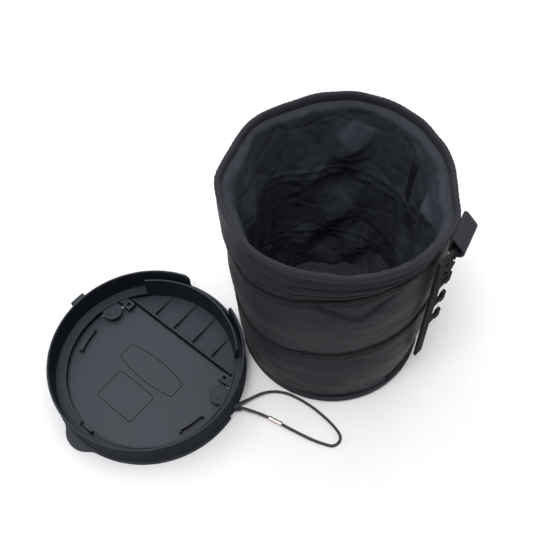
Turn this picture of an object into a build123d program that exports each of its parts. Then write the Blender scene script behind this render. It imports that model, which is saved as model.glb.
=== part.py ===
"""A pop-up car trash bin: a fabric barrel on a coil of spring wire, with its plastic
lid taken off and lying upside down beside it. Millimetres, +Z up, the origin at the
middle of the barrel's foot, on the surface that it stands on."""
import os
from math import atan2, cos, degrees, radians, sin, sqrt, tan

from build123d import *

os.makedirs("parts", exist_ok=True)

# Barrel
BARREL_H = 208.0        # surface to the top of the rim
RIM_R = 80.0            # outside of the wall at the rim
BASE_R = 77.3           # outside of the wall at the foot
CLOTH = 0.8             # outer wall and outer base
LINING = 0.6            # lining wall and lining base
TAPE = 0.7              # hem tapes
WIRE_D = 2.0            # hoops and coil spring
WIRE_SIDES = 8          # facets round the wire
RIM_TAPE_H = 9.0        # depth of the rolled rim hem
RIM_FOLD = 1.2          # bevel of its two folds
FOOT_TAPE_H = 11.0      # height of the foot hem
FOOT_TAPE_LEG = 9.0     # width of the foot hem under the barrel
COIL_PITCH = 84.0       # rise of the coil spring in one turn
COIL_DROP = 116.0       # rim's top to the coil's middle turn, at the front
FRONT = -90.0           # direction of the front, from +X
SLEEVE_H = 5.0          # width of the sewn channel that shows the coil
SLEEVE_T = 0.7

# Loose folds of the lining
FOLD_DEPTH = 12.0       # how far the deepest fold hangs in
FOLD_SIDES = 32         # corners round each ring of folds
FOLD_RINGS = 8          # rings of corners between foot and rim
FOLD_FADE = 24.0        # height over which the folds die out, at foot and rim
FOLDS_ROUND = 5         # slanting folds round the barrel
FOLD_RISE = 75.0        # height from one of them to the next
CROSS_FOLDS = 8         # lesser folds that cross them
CROSS_RISE = 107.0
CROSS_SHARE = 0.35      # their share of the depth

# Gaps
SEAT = 0.1              # between pieces that are sewn or pressed together
PLAY = 0.3              # between pieces that move on each other

# Webbing loop on the rim
LOOP_AZ = -28.5         # direction of the loop, from +X
LOOP_W = 25.0           # width of the band, along the rim
LOOP_T = 1.3
LOOP_OUT = 7.0          # middle of the tunnel, out from the wall
LOOP_DROP = 15.0        # and below the rim's top
LOOP_BEND_R = 5.6       # outside of the tunnel's round end
LOOP_NECK_R = 1.6       # outside of its sewn end
LOOP_NECK_DROP = 5.0    # sewn end below the rim's top

# Hook strip in the loop
STRIP_AZ = -46.0        # direction that the strip faces
STRIP_ROOT_X = 14.1     # root of its tongue, from the edge of its spine
STRIP_ROOT_IN = 1.7     # its middle plane, in from the end of that root
STRIP_LEAN = 3.2        # lean of the hanging strip, degrees
STRIP_T = 2.2
STRIP_L = 148.0
STRIP_W = 20.0
SPINE_W = 8.0
HEAD_W = 15.5           # upper head, beside the tunnel's mouth
HEAD_TOP = 5.5          # head above the tongue
SHOULDER_DROP = 15.0    # drops are below the strip's top
SHOULDER_H = 5.0
TAPER_DROP = 21.0
TAPER_H = 10.0
TAPER_W = 15.0
LUG_DROP = 39.0         # middle of the upper lug
LUG_PITCH = 28.0
LUGS = 3
LUG_H = 13.0
LUG_NECK_H = 6.0
LUG_BAR_W = 5.0
STRIP_ROUND = 1.2
EYE_D = 4.0
EYE_DROP = 11.0
TEAR_D = 4.6            # round end of the teardrop eye
TEAR_L = 8.0
TEAR_W = 4.1            # foot of its pointed end
TEAR_DROP = 23.0
EYE_X = 9.0
TONGUE_H = 4.0          # tongue through the tunnel
TONGUE_T = 2.4
TONGUE_IN = 9.0         # its end, past the tunnel's middle
TONGUE_ROOT = 4.0       # its root, outside the tunnel's mouth

# Lid, lying upside down, with its hinge side towards +Y of its own frame
LID_AZ = 195.62         # direction of its middle, from +X
LID_GAP = 0.1           # lid to the barrel, seen from above
LID_TURN = -40.0        # from +X to the lid's hinge line
LID_R = 83.8            # outside of the collar
LID_H = 31.0
LID_WALL = 2.0
LID_ROUND = 0.8         # edges of the collar's top
PANEL_T = 2.4           # rear panel
FLAP_T = 2.2
FLAP_PROUD = 1.2        # flap's lip, out from the collar
FLAP_LIP_W = 4.2
FLAP_LIP_T = 3.0
LEDGE_W = 9.2
LEDGE_Z = 6.0
LEDGE_T = 2.0
BEAD_W = 1.6
BEAD_H = 1.2
REAR_ARC = 81.0         # half angle of the collar's closed rear foot
REAR_FOOT_W = 11.0      # width of that foot
FLAP_SIDE_GAP = 1.5     # flap to the rear foot
RIB_BEHIND = 6.3        # panel's edge rib, behind the hinge
RIB_PAST = 2.0          # its ends, past the middles of the brackets
RIB_T = 1.7
RIB_H = 4.2
GUSSETS = 4
GUSSET_PITCH = 22.6
GUSSET_TOE = 0.8
INNER_ARC = 46.0        # half angle of the low wall behind the panel
INNER_FOOT_IN = 9.0     # its foot and its top, in from the collar's outside
INNER_TOP_IN = 6.2
INNER_WALL = 1.5
INNER_H = 25.0
GAP_ARC = 16.5          # half angle of the gap in the collar
GAP_Z = 14.0
GAP_ROUND = 7.0
TAB_ANGLE = 179.0       # hook tab, in the lid's frame
TAB_W = 13.5
TAB_OUT = 4.4
TAB_Z = 26.4
TAB_T = 2.2
TAB_LIP = 2.4
EAR_IN = 18.8           # ears, in from the collar's outside
EAR_Y = 17.8
EAR_R = 8.8
PIP_R = 1.2
PIP_H = 0.8

# Hinge of the flap
HINGE_Y = 32.0
HINGE_Z = 4.4
PIN_D = 3.0
PIN_LEN = 15.0
PIN_PLAY = 0.2          # bracket on the pin, radius
BRACKET_IN = 25.8       # middle of a bracket, in from the collar's outside
BRACKET = 8.0           # its width and depth
BRACKET_Z = 7.6
BRACKET_WINDOW = 3.6
ARM_W = 7.0
FLAP_REAR_GAP = 1.1     # flap to the edge rib
FLAP_REAR_ROUND = 2.0   # its rear edge, which turns down past the rib

# Lobe, latch and side clips of the flap
LOBE_ANGLE = -92.0
LOBE_R = 19.0
LOBE_PROUD = 7.0        # tip of the lobe, out from the lip
LOBE_BLEND = 14.0
LATCH_SET = 0.6         # middle of the hook, out from the ledge's inside
LATCH_W = 8.0
LATCH_T = 1.8
LATCH_Z = 9.8
LATCH_BARB = 1.2
LATCH_WINDOW_W = 18.0
LATCH_WINDOW_D = 3.4
CLIP_ANGLE = -14.5
CLIP_ARC = 9.5
CLIP_IN = 8.2           # clips, in from the ledge's inside
CLIP_T = 1.7
CLIP_H = 4.6
CLIP_POST = 3.4

# Elastic loop and its crimp
CORD_D = 2.5
CORD_SIDES = 10         # facets round the cord
BEND_SHARE = 0.45       # share of the shorter run that a bend of the cord takes
BOSS_ANGLE = 12.0       # boss on the collar, in the lid's frame
BOSS_AZ = 8.0           # direction that the boss points, from +X
BOSS_D = 7.4
BOSS_Z = 7.2
BOSS_L = 5.5
FERRULE_D = 4.2
FERRULE_L = 13.0
CORD_POINTS = [
    (-81.5, -81.2, 7.2),
    (-70.5, -74.8, 4.6),
    (-58.5, -68.4, 1.9),
    (-44.0, -68.2, 1.3),
    (-28.3, -75.8, 1.3),
    (-14.0, -87.0, 1.3),
    (-2.8, -98.6, 1.3),
    (3.7, -108.2, 1.3),
    (2.4, -114.2, 1.3),
    (-2.8, -117.5, 1.3),
    (-8.8, -116.2, 1.3),
    (-20.3, -111.8, 1.5),
    (-36.5, -103.2, 2.1),
    (-65.0, -86.6, 2.6),
    (-81.3, -83.9, 7.2),
]


def wall_r(z):
    """Outside radius of the barrel's wall at a height."""
    return BASE_R + (RIM_R - BASE_R) * z / BARREL_H


def toward(angle):
    """Level direction at an angle from +X."""
    return Vector(cos(radians(angle)), sin(radians(angle)), 0)


def section(origin, angle):
    """Upright plane that holds a level direction: its X runs out, its Y up."""
    return Plane(origin=origin, x_dir=toward(angle), z_dir=toward(angle - 90))


LINING_GAP = CLOTH + WIRE_D + 2 * PLAY          # wall's outside to the lining's outside
WALL_Z = TAPE + CLOTH                           # foot of the outer wall
WALL_TOP = BARREL_H - TAPE - PLAY
LINING_Z = WALL_Z + SEAT + LINING               # foot of the lining wall
WIRE_IN = CLOTH + PLAY + WIRE_D / 2             # wall's outside to the wire's middle
TAPER_ANGLE = degrees(atan2(RIM_R - BASE_R, BARREL_H))
WIDEST_R = max(RIM_R, BASE_R)

# Outer wall: a thin tapered tube
with BuildPart() as outer_wall:
    with BuildSketch(Plane.XZ):
        Polygon(
            (wall_r(WALL_Z) - CLOTH, WALL_Z),
            (wall_r(WALL_Z), WALL_Z),
            (wall_r(WALL_TOP), WALL_TOP),
            (wall_r(WALL_TOP) - CLOTH, WALL_TOP),
            align=None,
        )
    revolve(axis=Axis.Z)
outer_wall.part.label = "outer_wall"

# Outer base: the disc that the wall is sewn to, its edge lying on the foot hem
with BuildPart() as outer_base:
    with BuildSketch(Plane.XY.offset(TAPE)):
        Circle(wall_r(WALL_Z))
    extrude(amount=CLOTH)
    with BuildSketch():
        Circle(BASE_R - FOOT_TAPE_LEG - SEAT)
    extrude(amount=TAPE)
outer_base.part.label = "outer_base"

RIM_Z = BARREL_H - RIM_TAPE_H                   # lower edge of the rim hem
fold_heights = [LINING_Z + (RIM_Z - LINING_Z) * ring / FOLD_RINGS for ring in range(FOLD_RINGS + 1)]
fold_heights.append(WALL_TOP)


def lining_dent(angle, z):
    """How far the slack lining hangs in: slanting folds, which leave the four corners inside free."""
    slant = sin(radians(FOLDS_ROUND * angle + 360 * z / FOLD_RISE))
    cross = sin(radians(CROSS_FOLDS * angle - 360 * z / CROSS_RISE))
    fade = max(0, min(1, (z - LINING_Z) / FOLD_FADE, (RIM_Z - z) / FOLD_FADE))
    corners_free = 1 - abs(sin(radians(2 * angle))) ** 3
    return FOLD_DEPTH * fade * corners_free * (1 + (1 - CROSS_SHARE) * slant + CROSS_SHARE * cross) / 2


def lining_corner(ring, side, inset):
    """Corner of a fold, on one of the lining's rings."""
    angle = 360 / FOLD_SIDES * side
    z = fold_heights[ring]
    radius = wall_r(z) - LINING_GAP - inset - lining_dent(angle, z)
    return toward(angle) * radius + Vector(0, 0, z)


def lining_facets(corners):
    """The two flat facets between four corners of the lining's skin."""
    first, second, third, fourth = corners
    return [Face(Wire.make_polygon(facet)) for facet in ((first, second, third), (first, third, fourth))]


# Lining wall, inside the wire: a loose sheet in flat facets
lining_skin = []
for side in range(FOLD_SIDES):
    for inset in (0, LINING):
        for ring in range(len(fold_heights) - 1):
            lining_skin += lining_facets([
                lining_corner(ring, side, inset), lining_corner(ring, side + 1, inset),
                lining_corner(ring + 1, side + 1, inset), lining_corner(ring + 1, side, inset),
            ])
    for ring in (0, len(fold_heights) - 1):
        lining_skin += lining_facets([
            lining_corner(ring, side, 0), lining_corner(ring, side + 1, 0),
            lining_corner(ring, side + 1, LINING), lining_corner(ring, side, LINING),
        ])
with BuildPart() as inner_lining:
    add(Solid(Shell(lining_skin)))
inner_lining.part.label = "inner_lining"

# Lining base: the lining's bottom disc
with BuildPart() as lining_base:
    with BuildSketch(Plane.XY.offset(WALL_Z + SEAT)):
        Circle(wall_r(LINING_Z) - LINING_GAP)
    extrude(amount=LINING)
lining_base.part.label = "lining_base"

# Foot hem: a tape folded round the lower edge
FOOT_OUT_R = max(BASE_R, wall_r(FOOT_TAPE_H)) + SEAT + TAPE
with BuildPart() as base_binding:
    with BuildSketch(Plane.XZ):
        Polygon(
            (BASE_R - FOOT_TAPE_LEG, 0),
            (FOOT_OUT_R, 0),
            (FOOT_OUT_R, FOOT_TAPE_H),
            (FOOT_OUT_R - TAPE, FOOT_TAPE_H),
            (FOOT_OUT_R - TAPE, TAPE),
            (BASE_R - FOOT_TAPE_LEG, TAPE),
            align=None,
        )
    revolve(axis=Axis.Z)
base_binding.part.label = "base_binding"

# Rim hem: a tape rolled over the upper edges of wall and lining
RIM_OUT_R = max(RIM_R, wall_r(RIM_Z)) + PLAY + TAPE
LINING_IN_R = (min(RIM_R, wall_r(RIM_Z)) - LINING_GAP - LINING) * cos(radians(180 / FOLD_SIDES))
RIM_IN_R = LINING_IN_R - PLAY - TAPE
with BuildPart() as rim_binding:
    with BuildSketch(Plane.XZ) as rim_section:
        Polygon(
            (RIM_OUT_R, RIM_Z),
            (RIM_OUT_R, BARREL_H),
            (RIM_IN_R, BARREL_H),
            (RIM_IN_R, RIM_Z),
            (RIM_IN_R + TAPE, RIM_Z),
            (RIM_IN_R + TAPE, BARREL_H - TAPE),
            (RIM_OUT_R - TAPE, BARREL_H - TAPE),
            (RIM_OUT_R - TAPE, RIM_Z),
            align=None,
        )
        chamfer(rim_section.vertices().group_by(Axis.Y)[-1], RIM_FOLD)
    revolve(axis=Axis.Z)
rim_binding.part.label = "rim_binding"

# Wire hoops in the two hems
TOP_HOOP_Z = WALL_TOP - PLAY - WIRE_D / 2
BASE_HOOP_Z = WALL_Z + PLAY + WIRE_D / 2
with BuildPart() as top_hoop:
    with BuildSketch(Plane.XZ):
        with Locations((wall_r(TOP_HOOP_Z) - WIRE_IN, TOP_HOOP_Z)):
            RegularPolygon(WIRE_D / 2, WIRE_SIDES)
    revolve(axis=Axis.Z)
top_hoop.part.label = "top_hoop"

with BuildPart() as base_hoop:
    with BuildSketch(Plane.XZ):
        with Locations((wall_r(BASE_HOOP_Z) - WIRE_IN, BASE_HOOP_Z)):
            RegularPolygon(WIRE_D / 2, WIRE_SIDES)
    revolve(axis=Axis.Z)
base_hoop.part.label = "base_hoop"


def coil_angle(z):
    """Direction of the coil at a height, from +X."""
    return FRONT + (z - BARREL_H + COIL_DROP) / COIL_PITCH * 360


def coil_section(path, z):
    """Plane across the coil's path at its start, with its X out from the barrel's axis."""
    return Plane(origin=path @ 0, x_dir=toward(coil_angle(z)), z_dir=path % 0)


# Coil spring: one wire that climbs the wall between cloth and lining
COIL_START = BASE_HOOP_Z + WIRE_D + PLAY
COIL_END = TOP_HOOP_Z - WIRE_D - PLAY
with BuildLine() as coil_line:
    Helix(COIL_PITCH, COIL_END - COIL_START, wall_r(COIL_START) - WIRE_IN,
          center=(0, 0, COIL_START), cone_angle=TAPER_ANGLE)
coil_path = coil_line.line.rotate(Axis.Z, coil_angle(COIL_START))
with BuildPart() as coil_spring:
    with BuildSketch(coil_section(coil_path, COIL_START)):
        RegularPolygon(WIRE_D / 2, WIRE_SIDES)
    sweep(path=coil_path, is_frenet=True)
coil_spring.part.label = "coil_spring"

# Spring sleeve: the band sewn over the coil, between the two hems
SLEEVE_START = FOOT_TAPE_H + SLEEVE_H
SLEEVE_END = RIM_Z - SLEEVE_H
with BuildLine() as sleeve_line:
    Helix(COIL_PITCH, SLEEVE_END - SLEEVE_START, wall_r(SLEEVE_START) + PLAY + SLEEVE_T / 2,
          center=(0, 0, SLEEVE_START), cone_angle=TAPER_ANGLE)
sleeve_path = sleeve_line.line.rotate(Axis.Z, coil_angle(SLEEVE_START))
with BuildPart() as spring_sleeve:
    with BuildSketch(coil_section(sleeve_path, SLEEVE_START)):
        Rectangle(SLEEVE_T, SLEEVE_H)
    sweep(path=sleeve_path, is_frenet=True)
spring_sleeve.part.label = "spring_sleeve"

# Webbing loop: a woven band sewn under the rim hem, its tunnel along the rim
LOOP_R = WIDEST_R + LOOP_OUT
LOOP_Z = BARREL_H - LOOP_DROP
LOOP_NECK = (RIM_OUT_R + SEAT + LOOP_NECK_R, BARREL_H - LOOP_NECK_DROP)
with BuildPart() as webbing_loop:
    with BuildSketch(section((0, 0, 0), LOOP_AZ)) as loop_outside:
        with Locations((LOOP_R, LOOP_Z)):
            Circle(LOOP_BEND_R)
        with Locations(LOOP_NECK):
            Circle(LOOP_NECK_R)
        make_hull()
    extrude(amount=LOOP_W / 2, both=True)
    with BuildSketch(section((0, 0, 0), LOOP_AZ)) as loop_inside:
        with Locations((LOOP_R, LOOP_Z)):
            Circle(LOOP_BEND_R - LOOP_T)
        with Locations(LOOP_NECK):
            Circle(LOOP_NECK_R - LOOP_T)
        make_hull()
    extrude(amount=LOOP_W / 2, both=True, mode=Mode.SUBTRACT)
webbing_loop.part.label = "webbing_loop"

# Hook strip: a flat moulded strap, its tongue lying in the webbing loop
TONGUE_SWING = sqrt(TONGUE_H**2 + TONGUE_T**2) / 2
TONGUE_Z = LOOP_Z - LOOP_BEND_R + LOOP_T + PLAY + TONGUE_SWING
tongue_axis = toward(LOOP_AZ) * LOOP_R + Vector(0, 0, TONGUE_Z)
tongue_root = tongue_axis - toward(LOOP_AZ + 90) * (LOOP_W / 2 + TONGUE_ROOT)
strip_edge = tongue_root - toward(STRIP_AZ + 90) * STRIP_ROOT_X - toward(STRIP_AZ) * STRIP_ROOT_IN
strip_corner = strip_edge + Vector(0, 0, HEAD_TOP)
strip_across = toward(STRIP_AZ + 90) * cos(radians(STRIP_LEAN)) + Vector(0, 0, sin(radians(STRIP_LEAN)))
strip_plane = Plane(origin=strip_corner, x_dir=strip_across, z_dir=toward(STRIP_AZ))
with BuildPart() as hook_strip:
    with BuildSketch(strip_plane) as strip_face:
        Rectangle(SPINE_W, STRIP_L, align=(Align.MIN, Align.MAX))
        Polygon(
            (0, 0),
            (0, -TAPER_DROP - TAPER_H),
            (TAPER_W, -TAPER_DROP - TAPER_H),
            (STRIP_W, -TAPER_DROP),
            (STRIP_W, -SHOULDER_DROP - SHOULDER_H),
            (HEAD_W, -SHOULDER_DROP),
            (HEAD_W, 0),
            align=None,
        )
        for lug in range(LUGS):
            with Locations((SPINE_W, -LUG_DROP - lug * LUG_PITCH)):
                Rectangle(STRIP_W - SPINE_W, LUG_NECK_H, align=(Align.MIN, Align.CENTER))
            with Locations((STRIP_W, -LUG_DROP - lug * LUG_PITCH)):
                Rectangle(LUG_BAR_W, LUG_H, align=(Align.MAX, Align.CENTER))
        fillet(strip_face.vertices(), STRIP_ROUND)
        with Locations((EYE_X, -EYE_DROP)):
            Circle(EYE_D / 2, mode=Mode.SUBTRACT)
        with Locations((EYE_X, -TEAR_DROP)):
            Circle(TEAR_D / 2, mode=Mode.SUBTRACT)
            Triangle(
                c=TEAR_W, a=TEAR_L, b=TEAR_L, rotation=180,
                align=(Align.CENTER, Align.MIN), mode=Mode.SUBTRACT,
            )
    extrude(amount=STRIP_T / 2, both=True)
    with BuildSketch(section(tongue_axis, LOOP_AZ).offset(-TONGUE_IN)):
        Rectangle(TONGUE_T, TONGUE_H)
    extrude(amount=TONGUE_IN + LOOP_W / 2 + TONGUE_ROOT)
hook_strip.part.label = "hook_strip"

# Frame of the lid
lid_middle = toward(LID_AZ) * (max(RIM_OUT_R, FOOT_OUT_R) + LID_GAP + LID_R)
lid = Plane(origin=lid_middle, x_dir=toward(LID_TURN))
lid_axis = Axis(lid.origin, (0, 0, 1))
lid_depth = Axis(lid.origin, lid.y_dir)
COLLAR_IN_R = LID_R - LID_WALL
SKIRT_Z = FLAP_LIP_T + PLAY
LEDGE_TOP = LEDGE_Z + LEDGE_T
LEDGE_R = COLLAR_IN_R - LEDGE_W
FOOT_IN_R = LID_R - REAR_FOOT_W
INNER_FOOT_R = LID_R - INNER_FOOT_IN
INNER_TOP_R = LID_R - INNER_TOP_IN
EAR_X = LID_R - EAR_IN
BRACKET_X = LID_R - BRACKET_IN
CHORD_Y = HINGE_Y + RIB_BEHIND
CHORD_HALF = BRACKET_X + RIB_PAST
LATCH_R = LEDGE_R + LATCH_SET
CLIP_R = LEDGE_R - CLIP_IN
FLAP_R = LID_R + FLAP_PROUD
ARM_X = BRACKET_X + BRACKET / 2 + PLAY
FLAP_STEP_Y = FOOT_IN_R * cos(radians(REAR_ARC)) - FLAP_SIDE_GAP
FLAP_REAR_Y = CHORD_Y - FLAP_REAR_GAP
GAP_HALF = LID_R * sin(radians(GAP_ARC))


def lid_section(angle):
    """Upright plane through the lid's axis, at an angle from its hinge line."""
    return section(lid.origin, LID_TURN + angle)


# Lid collar: boss, wall with ledge, closed rear foot with a ribbed panel, hinge arms
boss_root = lid.from_local_coords(
    Vector((LID_R - LID_WALL / 2) * cos(radians(BOSS_ANGLE)),
           (LID_R - LID_WALL / 2) * sin(radians(BOSS_ANGLE)), BOSS_Z)
)
with BuildPart() as lid_ring:
    with BuildSketch(Plane(origin=boss_root, z_dir=toward(BOSS_AZ))):
        Circle(BOSS_D / 2)
    extrude(amount=BOSS_L)
    with BuildSketch(lid):
        Circle(COLLAR_IN_R)
    extrude(amount=LID_H, mode=Mode.SUBTRACT)
    with BuildSketch(lid_section(0)) as collar_section:
        Polygon(
            (LID_R, SKIRT_Z),
            (LID_R, LID_H),
            (COLLAR_IN_R, LID_H),
            (COLLAR_IN_R, LEDGE_TOP),
            (LEDGE_R + BEAD_W, LEDGE_TOP),
            (LEDGE_R + BEAD_W, LEDGE_TOP + BEAD_H),
            (LEDGE_R, LEDGE_TOP + BEAD_H),
            (LEDGE_R, LEDGE_Z),
            (COLLAR_IN_R, LEDGE_Z),
            (COLLAR_IN_R, SKIRT_Z),
            align=None,
        )
        fillet(collar_section.vertices().group_by(Axis.Y)[-1], LID_ROUND)
    revolve(axis=lid_axis)
    # gap in the collar, with rounded ends of the wall
    with BuildSketch(lid_section(180)):
        with Locations((0, GAP_Z)):
            Rectangle(2 * GAP_HALF, LID_H, align=(Align.CENTER, Align.MIN))
        for side in (-1, 1):
            with Locations((side * (GAP_HALF + GAP_ROUND / 2), LID_H - GAP_ROUND / 2)):
                Rectangle(GAP_ROUND, GAP_ROUND)
            with Locations((side * (GAP_HALF + GAP_ROUND), LID_H - GAP_ROUND)):
                Circle(GAP_ROUND, mode=Mode.SUBTRACT)
    extrude(amount=LID_R + LID_WALL, mode=Mode.SUBTRACT)
    # ledge left out behind the panel, then the rear foot and the low wall there
    with BuildSketch(lid_section(90 - INNER_ARC)):
        with Locations((LEDGE_R - PLAY, LEDGE_Z)):
            Rectangle(COLLAR_IN_R - LEDGE_R + PLAY, LEDGE_T + 2 * BEAD_H, align=Align.MIN)
    revolve(axis=lid_axis, revolution_arc=2 * INNER_ARC, mode=Mode.SUBTRACT)
    with BuildSketch(lid_section(90 - REAR_ARC)):
        Polygon(
            (FOOT_IN_R, 0),
            (LID_R, 0),
            (LID_R, SKIRT_Z),
            (COLLAR_IN_R, SKIRT_Z),
            (COLLAR_IN_R, PANEL_T),
            (FOOT_IN_R, PANEL_T),
            align=None,
        )
    revolve(axis=lid_axis, revolution_arc=2 * REAR_ARC)
    with BuildSketch(lid_section(90 - INNER_ARC)):
        Polygon(
            (INNER_FOOT_R - INNER_WALL, PANEL_T),
            (INNER_FOOT_R, PANEL_T),
            (INNER_TOP_R, INNER_H),
            (INNER_TOP_R - INNER_WALL, INNER_H),
            align=None,
        )
    revolve(axis=lid_axis, revolution_arc=2 * INNER_ARC)
    # rear panel with its edge rib and gussets
    with BuildSketch(lid):
        Circle(FOOT_IN_R + PLAY)
        with Locations((0, CHORD_Y)):
            Rectangle(2 * LID_R, 2 * LID_R, align=(Align.CENTER, Align.MAX), mode=Mode.SUBTRACT)
    extrude(amount=PANEL_T)
    with BuildSketch(lid.offset(PANEL_T)):
        with Locations((0, CHORD_Y)):
            Rectangle(2 * CHORD_HALF, RIB_T, align=(Align.CENTER, Align.MIN))
    extrude(amount=RIB_H)
    for gusset in range(GUSSETS):
        gusset_x = (gusset - (GUSSETS - 1) / 2) * GUSSET_PITCH
        gusset_end = sqrt(FOOT_IN_R**2 - gusset_x**2)
        with BuildSketch(lid_section(90).offset(gusset_x)):
            Polygon(
                (CHORD_Y, PANEL_T),
                (gusset_end, PANEL_T),
                (gusset_end, PANEL_T + GUSSET_TOE),
                (CHORD_Y + RIB_T, PANEL_T + RIB_H),
                (CHORD_Y, PANEL_T + RIB_H),
                align=None,
            )
        extrude(amount=RIB_T / 2, both=True)
    # hinge arms with their pin holes, and the rounded ears beside them
    with BuildSketch(lid.offset(PANEL_T)):
        for side in (-1, 1):
            with Locations((side * (ARM_X + LID_R) / 2, HINGE_Y)):
                Rectangle(LID_R - ARM_X, ARM_W)
        Circle(LID_R - LID_WALL / 2, mode=Mode.INTERSECT)
    extrude(amount=LEDGE_TOP - PANEL_T)
    with BuildSketch(lid_section(90)):
        with Locations((HINGE_Y, HINGE_Z)):
            Circle(PIN_D / 2 + SEAT)
    extrude(amount=BRACKET_X - BRACKET / 2 + PIN_LEN, both=True, mode=Mode.SUBTRACT)
    with BuildSketch(lid.offset(LEDGE_Z)):
        with Locations((-EAR_X, EAR_Y), (EAR_X, EAR_Y)):
            Circle(EAR_R)
        Circle(LID_R - LID_WALL / 2, mode=Mode.INTERSECT)
    extrude(amount=LEDGE_T)
    with BuildSketch(lid.offset(LEDGE_TOP)):
        with Locations((-EAR_X, EAR_Y - EAR_R / 2), (EAR_X, EAR_Y - EAR_R / 2)):
            Circle(PIP_R)
    extrude(amount=PIP_H)
    # hook tab outside, and the latch window in the ledge
    with BuildSketch(lid_section(TAB_ANGLE)):
        Polygon(
            (LID_R - LID_WALL / 2, TAB_Z),
            (LID_R + TAB_OUT - TAB_T, TAB_Z),
            (LID_R + TAB_OUT - TAB_T, TAB_Z - TAB_LIP),
            (LID_R + TAB_OUT, TAB_Z - TAB_LIP),
            (LID_R + TAB_OUT, TAB_Z + TAB_T),
            (LID_R - LID_WALL / 2, TAB_Z + TAB_T),
            align=None,
        )
    extrude(amount=TAB_W / 2, both=True)
    with BuildSketch(lid_section(-90)):
        with Locations((LEDGE_R - PLAY, LEDGE_Z)):
            Rectangle(LATCH_WINDOW_D + PLAY, LEDGE_T + 2 * BEAD_H, align=Align.MIN)
    extrude(amount=LATCH_WINDOW_W / 2, both=True, mode=Mode.SUBTRACT)
lid_ring.part.label = "lid_ring"

# Outline of the thumb lobe: a round tip, blended into the lip by two hollow arcs
LOBE_OUT = FLAP_R + LOBE_PROUD
lobe_middle = LOBE_OUT - LOBE_R
blend_x = ((FLAP_R + LOBE_BLEND) ** 2 - (LOBE_R + LOBE_BLEND) ** 2 + lobe_middle**2) / (2 * lobe_middle)
blend_middle = Vector(blend_x, sqrt((FLAP_R + LOBE_BLEND) ** 2 - blend_x**2))
lip_point = blend_middle * (FLAP_R / (FLAP_R + LOBE_BLEND))
tip_side = blend_middle - Vector(lobe_middle, 0)
tip_point = Vector(lobe_middle, 0) + tip_side * (LOBE_R / (LOBE_R + LOBE_BLEND))
hollow = blend_middle + ((lip_point + tip_point) * 0.5 - blend_middle).normalized() * LOBE_BLEND

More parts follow.
